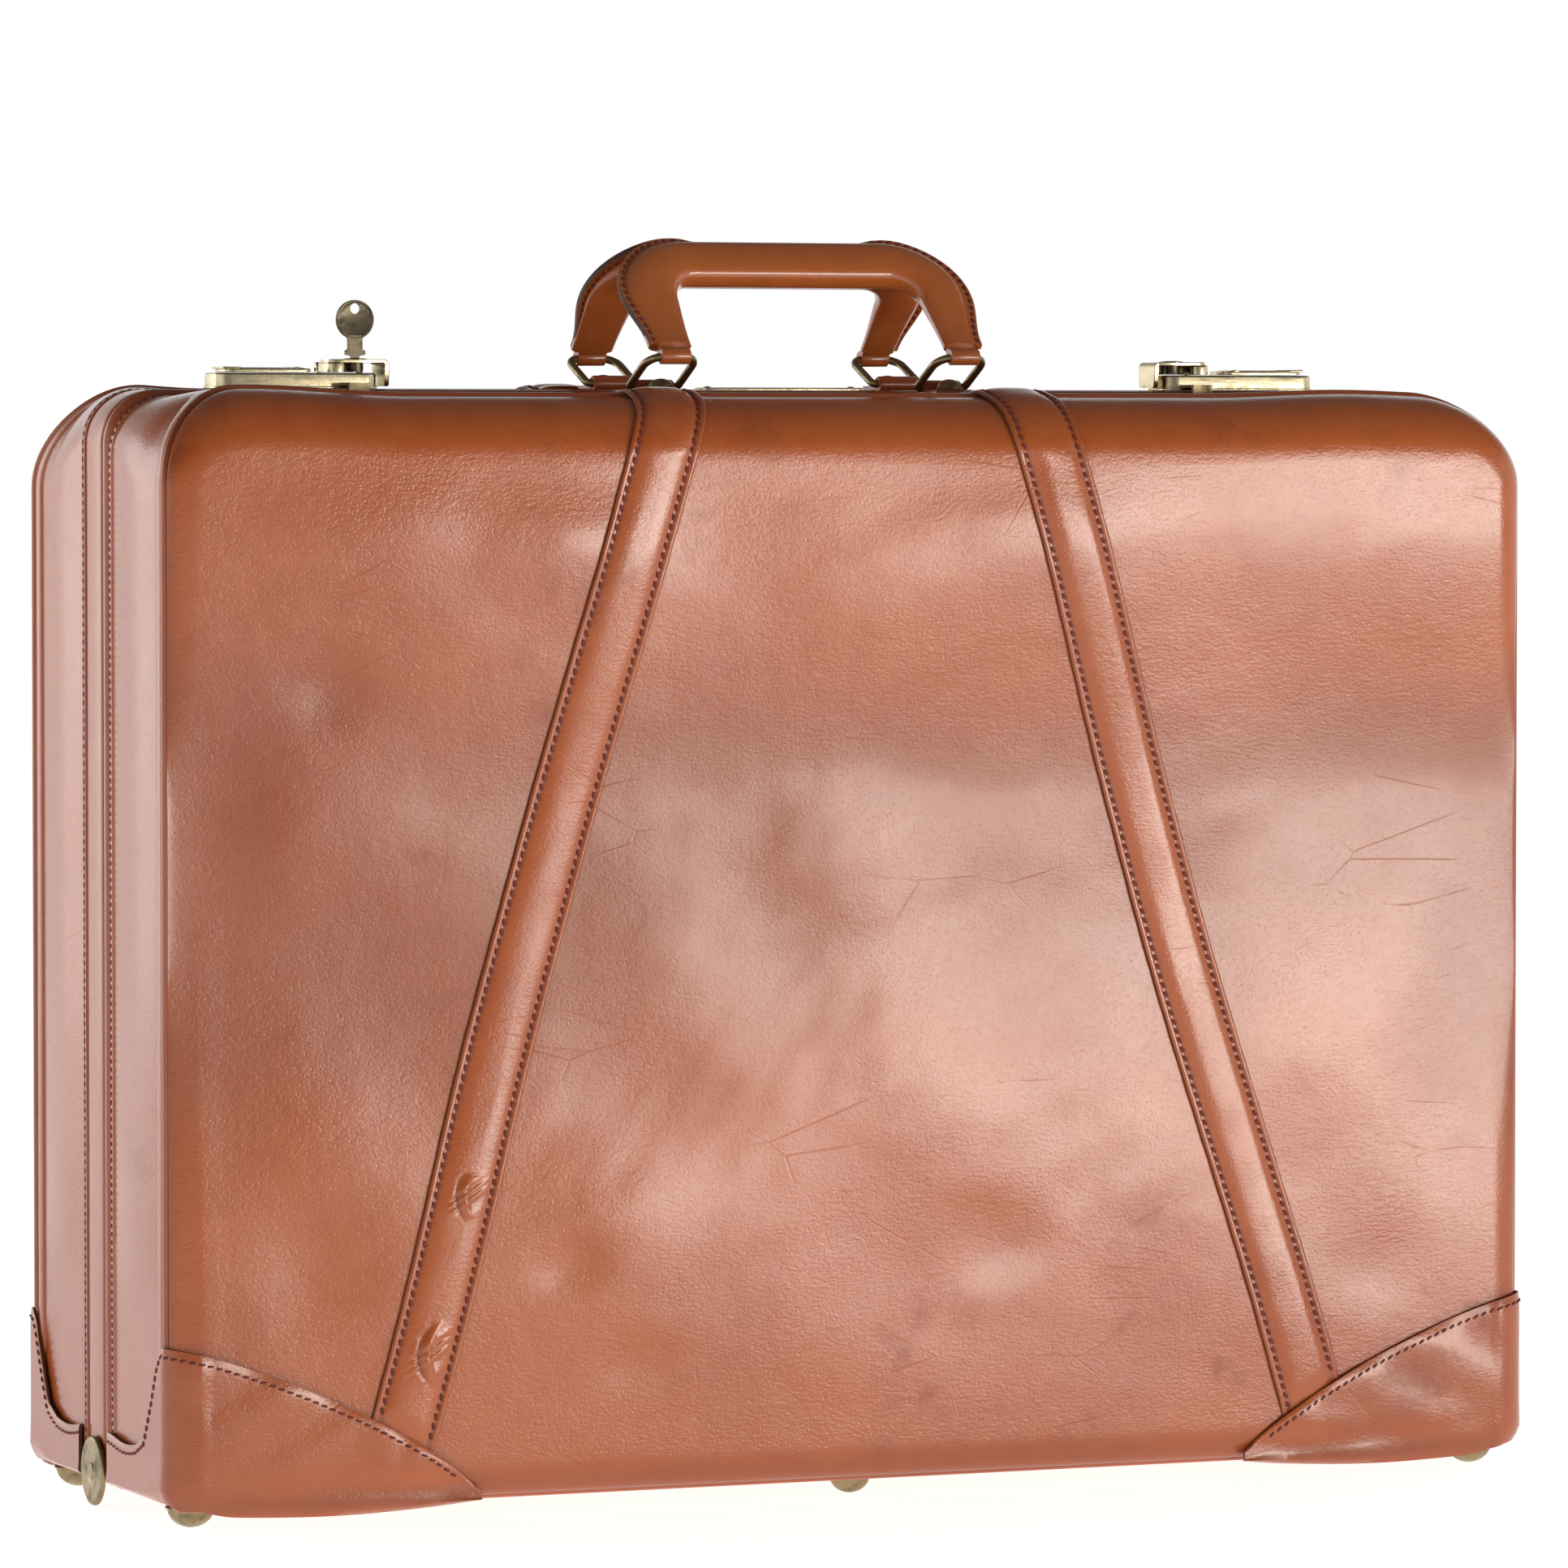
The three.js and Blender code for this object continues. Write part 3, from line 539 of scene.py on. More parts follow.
# ---- case outline ----
class Rim:
    """Stations once round a half of the case, seen from the front, and its skin's sizes there."""

    def __init__(self, half):
        self.half = half
        self.side = SIDE[half]
        self.top_z = TOP_Z[half]
        self.middle = (BASE_Z + self.top_z) / 2
        base_right, top_right, top_left, base_left = (1, 0), (1, 1), (-1, 1), (-1, 0)
        rows = []

        def run(first, second, angle, steps, top=0.0):
            for share in np.arange(steps) / steps:
                rows.append((*first, angle, *second, angle, share, top))

        def turn(corner, start, steps, top_at=lambda t: 0.0):
            for t in np.arange(steps) / steps:
                angle = start + t * math.pi / 2
                rows.append((*corner, angle, *corner, angle, 0.0, top_at(t)))

        run(base_left, base_right, -math.pi / 2, 60)
        turn(base_right, -math.pi / 2, 5)
        run(base_right, top_right, 0.0, 42)
        turn(top_right, 0.0, 20, ease)
        run(top_right, top_left, math.pi / 2, 60, 1.0)
        turn(top_left, math.pi / 2, 20, lambda t: ease(1 - t))
        run(top_left, base_left, math.pi, 42)
        turn(base_left, math.pi, 5)
        table = np.array(rows, float)
        self.first, self.second = table[:, 0:3], table[:, 3:6]
        self.share, self.top = table[:, 6], table[:, 7]
        self.count = len(rows)
        self.seam = PIPE_Y - TOP_SETBACK * self.top
        self.depth = FACE_BULGE + TOP_SETBACK * self.top
        self.roll = SIDE_ROLL + (TOP_ROLL - SIDE_ROLL) * self.top
        flat = self.flat(0)
        self.out = np.stack([np.cos(self.first[:, 2]), np.sin(self.first[:, 2])], 1)
        upright = np.abs(self.out[:, 0])
        self.end = upright * ease((flat[:, 1] - 80) / 40)
        self.sides = ease((flat[:, 1] - 12) / 20) * (1 - 0.6 * self.top)

    def corner(self, spec, inset, y):
        sx, is_top, angle = spec.T
        upper = np.interp(y, *CORNER[self.half])
        radius = np.maximum(np.where(is_top > 0, upper, BASE_RADIUS) - inset, 0.5)
        x = sx * (HALF_LENGTH - inset - radius) + radius * np.cos(angle)
        z = np.where(is_top > 0, self.top_z - inset - radius, BASE_Z + inset + radius)
        return np.stack([x, z + radius * np.sin(angle)], 1)

    def flat(self, inset, y=PIPE_Y):
        """x and z of the stations, moved in by inset: one value, or one for each station."""
        inset = np.broadcast_to(inset, self.count).astype(float)
        y = np.broadcast_to(y, self.count)
        share = self.share[:, None]
        first, second = self.corner(self.first, inset, y), self.corner(self.second, inset, y)
        spot = (1 - share) * first + share * second
        for middle, reach, height in CREST[self.half]:
            worn = height * bump(spot[:, 0] - middle, reach) * ease((y - 20) / 35)
            spot[:, 1] += worn * self.top * ease(1 - inset / 60)
        return spot

    def ring(self, inset, y):
        """Stations in space. y is the distance from the middle plane of the case."""
        flat = self.flat(inset, y)
        y = self.side * np.broadcast_to(y, self.count)
        return np.stack([flat[:, 0], y, flat[:, 1]], 1)

    def hoop(self, section):
        """A closed band round the case from its section, [(outward, y), ...]."""
        rings = [self.ring(-np.asarray(out), y) for out, y in section]
        return Shape().skin(np.array(rings).transpose(1, 0, 2), closed=True)

    def path(self, out, y):
        """A closed path and its outward normals, for a seam round the case."""
        ring = self.ring(-np.asarray(out), y)
        normals = np.stack([self.out[:, 0], 0 * self.out[:, 0], self.out[:, 1]], 1)
        loop = list(range(self.count)) + [0]
        return ring[loop], normals[loop]


RIM = {half: Rim(half) for half in SIDE}

# The board has sagged: full low down, hollow above, and part of it won back under the crest.
SAG = {"front": (7.5, 5.0), "back": (3.0, 2.0)}

# Dents and soft swellings of the front: x, z, reach, depth outward.
DENTS = (
    (-236, 339, 26, -0.8), (-250, 290, 70, 1.2), (-134, 103, 24, -0.9), (-106, 61, 26, -0.8),
    (-95, 130, 60, 0.9), (20, 180, 110, 1.0), (59, 106, 34, -0.9), (235, 200, 110, 2.2),
    (60, 340, 90, -0.8), (-134, 400, 50, 1.2), (240, 90, 40, -0.9), (-244, 107, 46, -1.0),
    (-4, 267, 60, 0.7),
)

# Soft waves of the board all over: height, wavelength.
WAVES = ((0.8, 210), (0.34, 80), (0.05, 24))


def sag(x, z, half):
    """The hollow of the board; it is won back more on the right."""
    hollow, won = SAG[half]
    hollow_z, hollow_rise, won_z, won_rise = 20, 235, 290, 125
    won = won * (1 + 0.8 * ease((x + 100) / 250))
    return won * ease((z - won_z) / won_rise) - hollow * ease((z - hollow_z) / hollow_rise)


def relief(x, z, half):
    """How far the worn panel stands out of its true shape, apart from its rolled edges."""
    middle = (BASE_Z + TOP_Z[half]) / 2
    wide, high = 290, 205  # beyond these the edges roll over and stay true
    across = np.clip((wide - np.abs(x)) / 45, 0, 1)
    along = np.clip((high - np.abs(z - middle)) / 40, 0, 1)
    seed = 3 if half == "front" else 11
    total = 0
    for i, (height, wavelength) in enumerate(WAVES):
        total = total + height * ripple(x, z, wavelength, seed + i)
    if half == "front":
        for dx, dz, reach, depth in DENTS:
            distance = np.hypot(x - dx, (z - dz) * 1.2)
            total = total + depth * bump(distance, reach)
    return sag(x, z, half) + total * ease(across) * ease(along)


def crown(x, z, half):
    middle = (BASE_Z + TOP_Z[half]) / 2
    high = middle - BASE_Z - 10
    across = ease((295 - np.abs(x)) / 150)
    return PANEL_CROWN * across * ease((high - np.abs(z - middle)) / 120)


def face_y(x, z, half):
    """Distance of the face's skin from the middle plane, clear of the upper corners."""
    top = np.clip(TOP_Z[half] - z, 0, TOP_ROLL)
    base = np.clip(z - BASE_Z, 0, SIDE_ROLL)
    top_y = CREST_Y + SEAM_STEP
    turned_over = np.sin(np.arccos(1 - top / TOP_ROLL))
    over = top_y + (FACE_Y - top_y) * turned_over
    rise = np.sin(np.arccos(1 - base / SIDE_ROLL))
    under = PIPE_Y + SEAM_STEP + (FACE_BULGE - SEAM_STEP) * rise
    return np.minimum(over, under) + crown(x, z, half) + relief(x, z, half) * turned_over


# ---- panels and gussets ----
def grime_and_shade(obj, weight):
    """Stores how dirty each point is, and on the puckered strap its painted fold shade too, for the
    leather.
    """
    layer = obj.data.attributes.new("grime_and_shade", "FLOAT", "POINT")
    layer.data.foreach_set("value", np.clip(weight, 0, 1).astype(np.float32))


def panel(half):
    rim = RIM[half]
    rings = []
    depth = rim.depth - SEAM_STEP + sag(*rim.flat(0).T, half)
    for c, s in arc(0, 90, 13):
        rings.append(rim.ring(rim.roll * (1 - c), rim.seam + SEAM_STEP + depth * s))
    edge = rings[-1]
    for scale in np.linspace(1, 0, 48)[1:-1]:
        x = edge[:, 0] * scale
        z = rim.middle + (edge[:, 2] - rim.middle) * scale
        y = FACE_Y + crown(x, z, half) + relief(x, z, half)
        rings.append(np.stack([x, rim.side * y, z], 1))
    outer = np.array(rings)
    middle_y = FACE_Y + PANEL_CROWN + float(relief(0.0, rim.middle, half))
    shape = Shape().dish(outer, (0, rim.side * middle_y, rim.middle))
    made = piece(f"{half}_panel_skin", shape, BODY[half], CASE_LEATHER, [f"{half}_panel"])
    thicken(made, WALL * 0.8, -1)
    depth = measure(made, 1) * rim.side
    low = measure(made, 2)
    dirt = 0.35 * bump(depth - 64, 5) * (low > 440)
    dirt += 0.5 * bump(np.minimum(depth - 89, 20), 4) * (low < 440)
    dirt += 0.55 * bump(low - 12, 14)
    grime_and_shade(made, dirt)


def gusset(half):
    """The side wall of a half: a stitched hem at the split, a soft swell, and a rolled edge."""
    rim = RIM[half]
    start = SPLIT_EDGE[half]
    section = []
    hem = [(0.0, 0.0), (0.5, 0.35), (0.7, 1.2), (0.7, 3.2), (0.45, 4.0), (0.0, 4.6)]
    if half == "back":
        hem = [(0.0, 0.0), (0.1, 0.6)]
    for out, y in hem:
        section.append((out * rim.sides, start + y))
    for t in np.linspace(0.06, 0.94, 12):
        y = start + 5 + (rim.seam - 10.5 - start - 5) * t
        section.append((1.3 * rim.end * math.sin(math.pi * t) ** 0.8, y))
    for c, s in arc(0, 180, 9):
        section.append((1.2 * rim.sides * s, rim.seam - 6.2 - 4.2 * c))
    section.append((-WALL, rim.seam - 2))
    section.append((-WALL, start))
    shape = rim.hoop(section)
    made = piece(f"{half}_gusset_skin", shape, BODY[half], CASE_LEATHER, [f"{half}_gusset"])
    y = measure(made, 1) * rim.side
    seam = np.repeat(rim.seam, len(section))
    dirt = 0.45 * bump(y - start - 5, 3) + 0.55 * bump(y - seam + 2, 2.4)
    dirt += 0.4 * bump(y - seam + 10.6, 2.0)
    grime_and_shade(made, dirt)


def piping(half):
    rim = RIM[half]
    section = []
    for a in np.arange(14) / 14 * 2 * math.pi:
        section.append((PIPE_R * math.cos(a) - 0.2, rim.seam + PIPE_R * math.sin(a)))
    shape = rim.hoop(section)
    piece(f"{half}_piping_cord", shape, BODY[half], TRIM_LEATHER, [f"{half}_piping"])


def seam_row(name, rim, out, y, body, **settings):
    shape = Shape()
    path, normals = rim.path(out, y)
    stitches(shape, path, normals, **settings)
    piece(name, shape, body, THREAD)


def split_trim():
    """Bead, band and welt round the back half, between the split and its gusset."""
    rim = RIM["back"]
    body = BODY["back"]
    section = []
    for a in np.arange(18) / 18 * 2 * math.pi:
        out = BEAD_R * math.cos(a) - 2.7
        section.append((out, BEAD_Y + BEAD_R * math.sin(a)))
    shape = rim.hoop(section)
    piece("bead_roll", shape, body, TRIM_LEATHER, ["frame_bead"])

    low, high = BAND_Y
    section = [(-WALL, low), (0.0, low), (0.45, low + 0.8)]
    for t in np.linspace(0.1, 0.9, 8):
        section.append((0.5 + 0.25 * math.sin(math.pi * t), low + (high - low) * t))
    section += [(0.4, high - 0.8), (-0.1, high), (-WALL, high)]
    shape = rim.hoop(section)
    made = piece("band_skin", shape, body, CASE_LEATHER, ["frame_band"])
    y = measure(made, 1)
    grime_and_shade(made, 0.6 * bump(y - low, 2.5) + 0.5 * bump(y - high, 2.0))

    low, high = WELT_Y
    section = [
        (-1.5, low), (0.35, low), (0.95, low + 0.5), (1.0, low + 1.6), (0.62, low + 2.4),
        (1.0, low + 3.3), (0.95, high - 0.5), (0.3, high), (-1.5, high),
    ]
    shape = rim.hoop(section)
    piece("welt_strip", shape, body, TRIM_LEATHER, ["back_welt"])
    seam_row("thread_welt", rim, 0.75, low + 2.45, body, pitch=3.6, length=2.7, radius=0.38)


# ---- straps ----
def patch_top(x):
    t = np.clip((HALF_LENGTH - np.abs(x)) / PATCH_RUN, 0, 0.985)
    return BASE_Z + PATCH_RISE * (1 - t**1.2) ** 0.75


def drift(z):
    """How far both front straps lie off to the left."""
    return 1.5 + 3.0 * ease((z - 60) / 150) - 2.5 * ease((z - 440) / 20)


def strap_x(z):
    return STRAP_TOP_X + np.maximum(TOP_Z["front"] - z, 0) * STRAP_SLOPE


# Half of the section of a strap from its edge inward: distance from the centre, height.
STRAP_EDGE = (
    (15.3, 0.0), (15.5, 0.35), (15.5, 1.05), (15.1, 1.45), (14.2, 1.55), (13.2, 1.35),
    (12.2, 0.95), (11.2, 1.3), (9.6, 1.95), (7.2, 2.4), (4.6, 2.6), (2.2, 2.66),
)
GROOVE = 6  # the place in the section where the stitches run
# Where the left strap has slipped and puckered: height, reach, fold.
PUCKERS = ((133, 10, 1.7), (69, 14, 2.1))


def pucker(s, dz, reach):
    """Height and painted shade of a slack fold: a crescent lip with wrinkles that run out of it; the
    shade is painted into the trough behind the lip and into the wrinkle valleys.
    """
    lip = s + 0.035 * dz * dz - 0.25 * dz - 1.5
    ridge = math.exp(-(lip / 2.2) ** 2) - 0.7 * math.exp(-((lip - 3.0) / 1.1) ** 2)
    wrinkle = math.sin(1.1 * dz + 0.8 * s + 2.2 * math.sin(0.37 * dz + 0.3 * s))
    near = float(bump(dz, reach) ** 0.6 * bump(s, 9) ** 0.6)
    # painted shade: darker in the trough behind the lip and in the wrinkle valleys
    dark = math.exp(-((lip - 3.0) / 1.0) ** 2) + 0.6 * max(-wrinkle - 0.3, 0)
    return near * (0.8 * ridge + 0.22 * wrinkle + 0.15), min(near * dark, 1.0)


def strap(half, hand_name):
    hand = HANDS[hand_name]
    side = SIDE[half]
    top_z = TOP_Z[half]
    spine = []  # y (None where the strap follows the face), z, outward y and outward z
    for y in np.linspace(STRAP_START[half], CREST_Y - 1, 12):
        lift = 1.0 * bump(y - CREST_Y + 1, 7)
        spine.append((y, top_z + 0.35 + lift, 0.0, 1.0))
    face = FACE_Y + float(sag(hand * STRAP_TOP_X, top_z, half))
    for a in np.linspace(0.02, math.pi / 2, 22)[:-1]:
        y = CREST_Y + SEAM_STEP + (face - CREST_Y - SEAM_STEP) * math.sin(a)
        z = top_z - TOP_ROLL * (1 - math.cos(a))
        lift = 0.35 + 1.0 * max(1 - a / 0.25, 0)
        spine.append((y + lift * math.sin(a), z + lift * math.cos(a), math.sin(a), math.cos(a)))
    last = float(patch_top(strap_x(40))) - 9
    puckered = half == "front" and hand_name == "left"
    heights = np.linspace(top_z - TOP_ROLL, last, 110)
    section = STRAP_EDGE
    if puckered:
        fine = np.arange(50, 152, 0.7)[::-1]
        heights = np.r_[heights[heights > 152.5], fine, heights[heights < 49.5]]
        raised = sorted((s, h) for s, h in STRAP_EDGE if s < 12)
        across = np.arange(11.2, 0.5, -0.9)
        levels = np.interp(across, *zip(*raised))
        section = [*STRAP_EDGE[:GROOVE + 1], *zip(across.tolist(), levels.tolist())]
    for z in heights:
        spine.append((None, z, 1.0, 0.0))
    profile = [*section, (0.0, 2.68), *((-s, h) for s, h in reversed(section))]
    rings, fold_shades = [], []
    for y, z, ny, nz in spine:
        centre = strap_x(z)
        ring = []
        for s, h in profile:
            fold_shade = 0.0
            x = centre + s
            under = z - float(patch_top(x))
            h = h * (0.35 + 0.65 * float(ease((under + 1) / 7)))
            if puckered:
                for pz, reach, high in PUCKERS:
                    # each pucker gives a lift and the painted shade of its fold troughs
                    lift, dark = pucker(s + 1, z - pz, reach)
                    h += high * lift
                    fold_shade = max(fold_shade, dark)
            fold_shades.append(fold_shade)
            at_x = hand * x - (float(drift(z)) if half == "front" else 0.0)
            place_y = float(face_y(at_x, z, half)) + 0.2 if y is None else y
            dz = 0.25 * math.sin(z * 0.31 + s) if s in (15.5, -15.5) else 0.0
            ring.append((at_x, side * (place_y + ny * h), z + nz * h + dz * ny))
        rings.append(ring)
    count = len(profile)
    shape = Shape().skin(rings, columns=[1, 1, *[0] * (count - 5), 1, 1, 0])
    name = f"strap_{hand_name}" if half == "front" else f"back_strap_{hand_name}"
    made = piece(
        f"{name}_leather", shape, BODY[half], [CASE_LEATHER, RAW_EDGE], [name], sharp=60
    )
    offsets = np.tile([s for s, _ in profile], len(spine))
    dirt = 0.55 * bump(np.abs(offsets) - 12.2, 1.6) + 0.55 * bump(np.abs(offsets) - 15.5, 1.2)
    # grime along the groove and the edges, plus the painted shade of the pucker folds
    grime_and_shade(made, dirt + np.array(fold_shades))
    rings = np.array(rings)
    normals = np.array([(0, side * ny, nz) for _, _, ny, nz in spine])
    rows = Shape()
    for j in (GROOVE, count - 1 - GROOVE):
        path = rings[:, j]
        keep = path[:, 2] > patch_top(path[:, 0]) + 1
        stitches(rows, path[keep], normals[keep], pitch=4.1, length=3.5, radius=0.78, slant=0.4)
    piece(f"thread_{name}", rows, BODY[half], THREAD)


# ---- corner patches ----
# The top of a patch along the end of the case: distance in from the piping, rise.
PATCH_END = ((0, 66), (5, 61), (12, 46), (22, 28), (34, 23))


def patch(half, hand_name):
    """One bent sheet: across the face, round the end roll and along the end."""
    hand = HANDS[hand_name]
    side = SIDE[half]
    columns = []  # x, y (None on the face), outward x, outward y and top
    for x in np.linspace(HALF_LENGTH - PATCH_RUN + 1, HALF_LENGTH - SIDE_ROLL, 44):
        columns.append((x, None, 0.0, 1.0, float(patch_top(x))))
    corner_x = HALF_LENGTH - SIDE_ROLL
    for c, s in arc(90, 0, 13)[1:]:
        x = corner_x + SIDE_ROLL * c
        y = PIPE_Y + FACE_BULGE * s
        columns.append((x, y, c, s, float(patch_top(x))))
    last_in, last_rise = PATCH_END[-1]
    for y in np.linspace(PIPE_Y - 1.5, PATCH_GAP_Y[half], 34):
        rise = float(np.interp(PIPE_Y - y, *zip(*PATCH_END)))
        if PIPE_Y - y > last_in:
            rise = last_rise + 1.2 * math.sin(y * 0.12)
        columns.append((HALF_LENGTH, y, 1.0, 0.0, BASE_Z + rise))
    levels = np.r_[0.0, 0.03, np.linspace(0.1, 0.9, 10), 0.95, 1.0]
    over, under = [], []
    for x, y, nx, ny, top in columns:
        column_over, column_under = [], []
        share = min((x - HALF_LENGTH + PATCH_RUN) / PATCH_RUN, 1.0)
        base_z = BASE_Z - 0.9 - PATCH_HANG * max(math.sin(math.pi * share), 0.0) ** 0.8
        base_z += 3.0 * ease((share - 0.8) / 0.2)
        for t in levels:
            z = top + (base_z - top) * t
            tuck = 3.2 * ease((t - 0.88) / 0.12) ** 2
            lift = 0.5 + 0.9 * nx + 0.5 * ny * ease((z - 14) / 10)
            lift += 0.6 * bump(t - 1, 0.3)
            if y is None:
                beneath = abs(x - float(strap_x(z)))
                lift += 0.9 * float(bump(beneath - 6, 16)) * float(ease((z - 16) / 12))
                base = max(float(face_y(hand * x, max(z, BASE_Z + 7), half)), FACE_Y - 0.8)
            else:
                base = y
            wave = 0.35 * math.sin(x * 0.11 + z * 0.2) * (1 - nx)
            thick = PATCH_THICK * (1 - 0.35 * bump(t, 0.06))
            low = lift + wave - tuck
            column_under.append((hand * (x + nx * low), side * (base + ny * low), z))
            high = low + thick
            column_over.append((hand * (x + nx * high), side * (base + ny * high), z))
        over.append(column_over)
        under.append(column_under)
    over, under = np.array(over), np.array(under)
    rings = np.concatenate([over, under[:, ::-1]], axis=1)
    shape = Shape().skin(rings, columns=[*[0] * (rings.shape[1] - 1), 1], finish=1)
    name = f"{half}_patch_{hand_name}"
    made = piece(
        f"{name}_leather", shape, BODY[half], [CASE_LEATHER, RAW_EDGE], [name], sharp=50
    )
    grime_and_shade(made, 0.5 * bump(measure(made, 2) - 9, 8) + 0.15)
    path, normals = [], []
    for (_, _, nx, ny, top), column in list(zip(columns, over[:, ::-1]))[4:]:
        z = max(top - 3.6, BASE_Z + 2)
        path.append([np.interp(z, column[:, 2], column[:, k]) for k in range(3)])
        normals.append((hand * nx, side * ny, 0.0))
    rows = Shape()
    stitches(rows, path, normals, pitch=4.0, length=3.0, radius=0.5, slant=0.2)
    piece(f"thread_{name}", rows, BODY[half], THREAD)


# ---- feet and discs ----
def dome_profile(radius, height, flange=0.8):
    profile = [
        (0.0, 0.0), (radius - 0.3, 0.0), (radius, 0.3), (radius, flange), (radius - 0.7, flange + 0.3),
    ]
    for c, s in arc(8, 88, 14):
        profile.append(((radius - 0.9) * c, flange + (height - flange) * s))
    return [*profile, (0.0, height)]


def feet():
    for half, side in SIDE.items():
        for name, (x, radius) in FOOT.items():
            node = f"{half}_foot_{name}"
            low, high = (v.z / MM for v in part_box(node))
            shape = Shape()
            turned(shape, dome_profile(radius, high - low), (x, side * FOOT_Y, high), (0, 0, -1))
            piece(f"{node}_dome", shape, BODY[half], AGED_BRASS, [node])


def discs():
    profile = [
        (0.0, 0.0), (14.3, 0.0), (14.5, 0.4), (14.5, 1.1), (14.1, 1.7), (13.2, 2.05), (12.2, 2.0),
        (11.4, 1.8), (8.0, 2.0), (4.4, 2.1), (3.9, 1.8), (3.5, 1.8), (3.2, 2.2), (0.0, 2.4),
    ]
    x, y, z = DISC_CENTRE
    for name, hand in HANDS.items():
        node = f"end_disc_{name}"
        shape = Shape()
        turned(shape, profile, (hand * x, y, z), (hand, 0, 0), sides=56)
        piece(f"{node}_stud", shape, "back_half", AGED_BRASS, [node])


# ---- rings, chapes, rivets and handles ----
def ring_run(half):
    rise = RING_TOP_Z - BAR[half][1]
    return rise, SIDE[half] * math.sqrt(RING_LENGTH**2 - rise**2)


def wire_ring(half, hand_name):
    rise, run = ring_run(half)
    bar_y, bar_z = BAR[half]
    centre_x = HANDS[hand_name] * HANDLE_X
    wide, foot, corner = RING_WIDTH / 2, 3.0, 8.5
    right = [(0.0, 0.0)]
    right += [(wide - foot + foot * c, foot + foot * s) for c, s in arc(-90, 0, 7)]
    right += [(wide - corner + corner * c, RING_LENGTH - corner + corner * s) for c, s in arc(0, 90, 9)]
    path = [
        (centre_x + x, bar_y + run * s / RING_LENGTH, bar_z + rise * s / RING_LENGTH)
        for x, s in [*right, *((-x, s) for x, s in reversed(right[1:]))]
    ]
    shape = Shape()
    tube(shape, path, RING_WIRE, 14, unit(np.cross((1, 0, 0), (0, run, rise))), closed=True)
    node = f"{half}_ring_{hand_name}"
    piece(f"{node}_wire", shape, f"{half}_rings", AGED_BRASS, [node])


def chape(half, hand_name):
    """A folded tab that comes off the case, wraps the bar and returns, and the rivet by it."""
    y0, z0 = BAR[half]
    centre_x = HANDS[hand_name] * HANDLE_X
    low = TOP_Z[half] + 0.5
    fold = 3.5
    outer = [(17.0, low + 0.2), (17.0, low + 2.4), (16.4, low + 2.7)]
    outer += [(t, low + 2.7) for t in np.linspace(14, 4.4, 6)]
    outer += [(fold * c, z0 + fold * s) for c, s in arc(-5, 250, 20)]
    outer += [(t, low) for t in (1, 6, 12)]
    width = 9.0
    rings = []
    for x, shrink in ((-width, 0.5), (-width + 0.5, 0.12), (-width + 1.2, 0.0), (0, 0.0),
                      (width - 1.2, 0.0), (width - 0.5, 0.12), (width, 0.5)):
        rings.append([
            (centre_x + x, y0 + SIDE[half] * t, z - (shrink if z > low + 1.0 else 0.0))
            for t, z in outer
        ])
    node = f"{half}_chape_{hand_name}"
    piece(f"{node}_tab", Shape().skin(rings), BODY[half], TRIM_LEATHER, [node], sharp=55)
    node = f"{half}_rivet_{hand_name}"
    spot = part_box(node)
    x, y, _ = [(a + b) / 2 / MM for a, b in zip(*spot)]
    shape = Shape()
    turned(shape, dome_profile(6.2, 4.2, 0.5), (x, y, spot[0].z / MM), (0, 0, 1), sides=32)
    piece(f"{node}_head", shape, BODY[half], AGED_BRASS, [node])


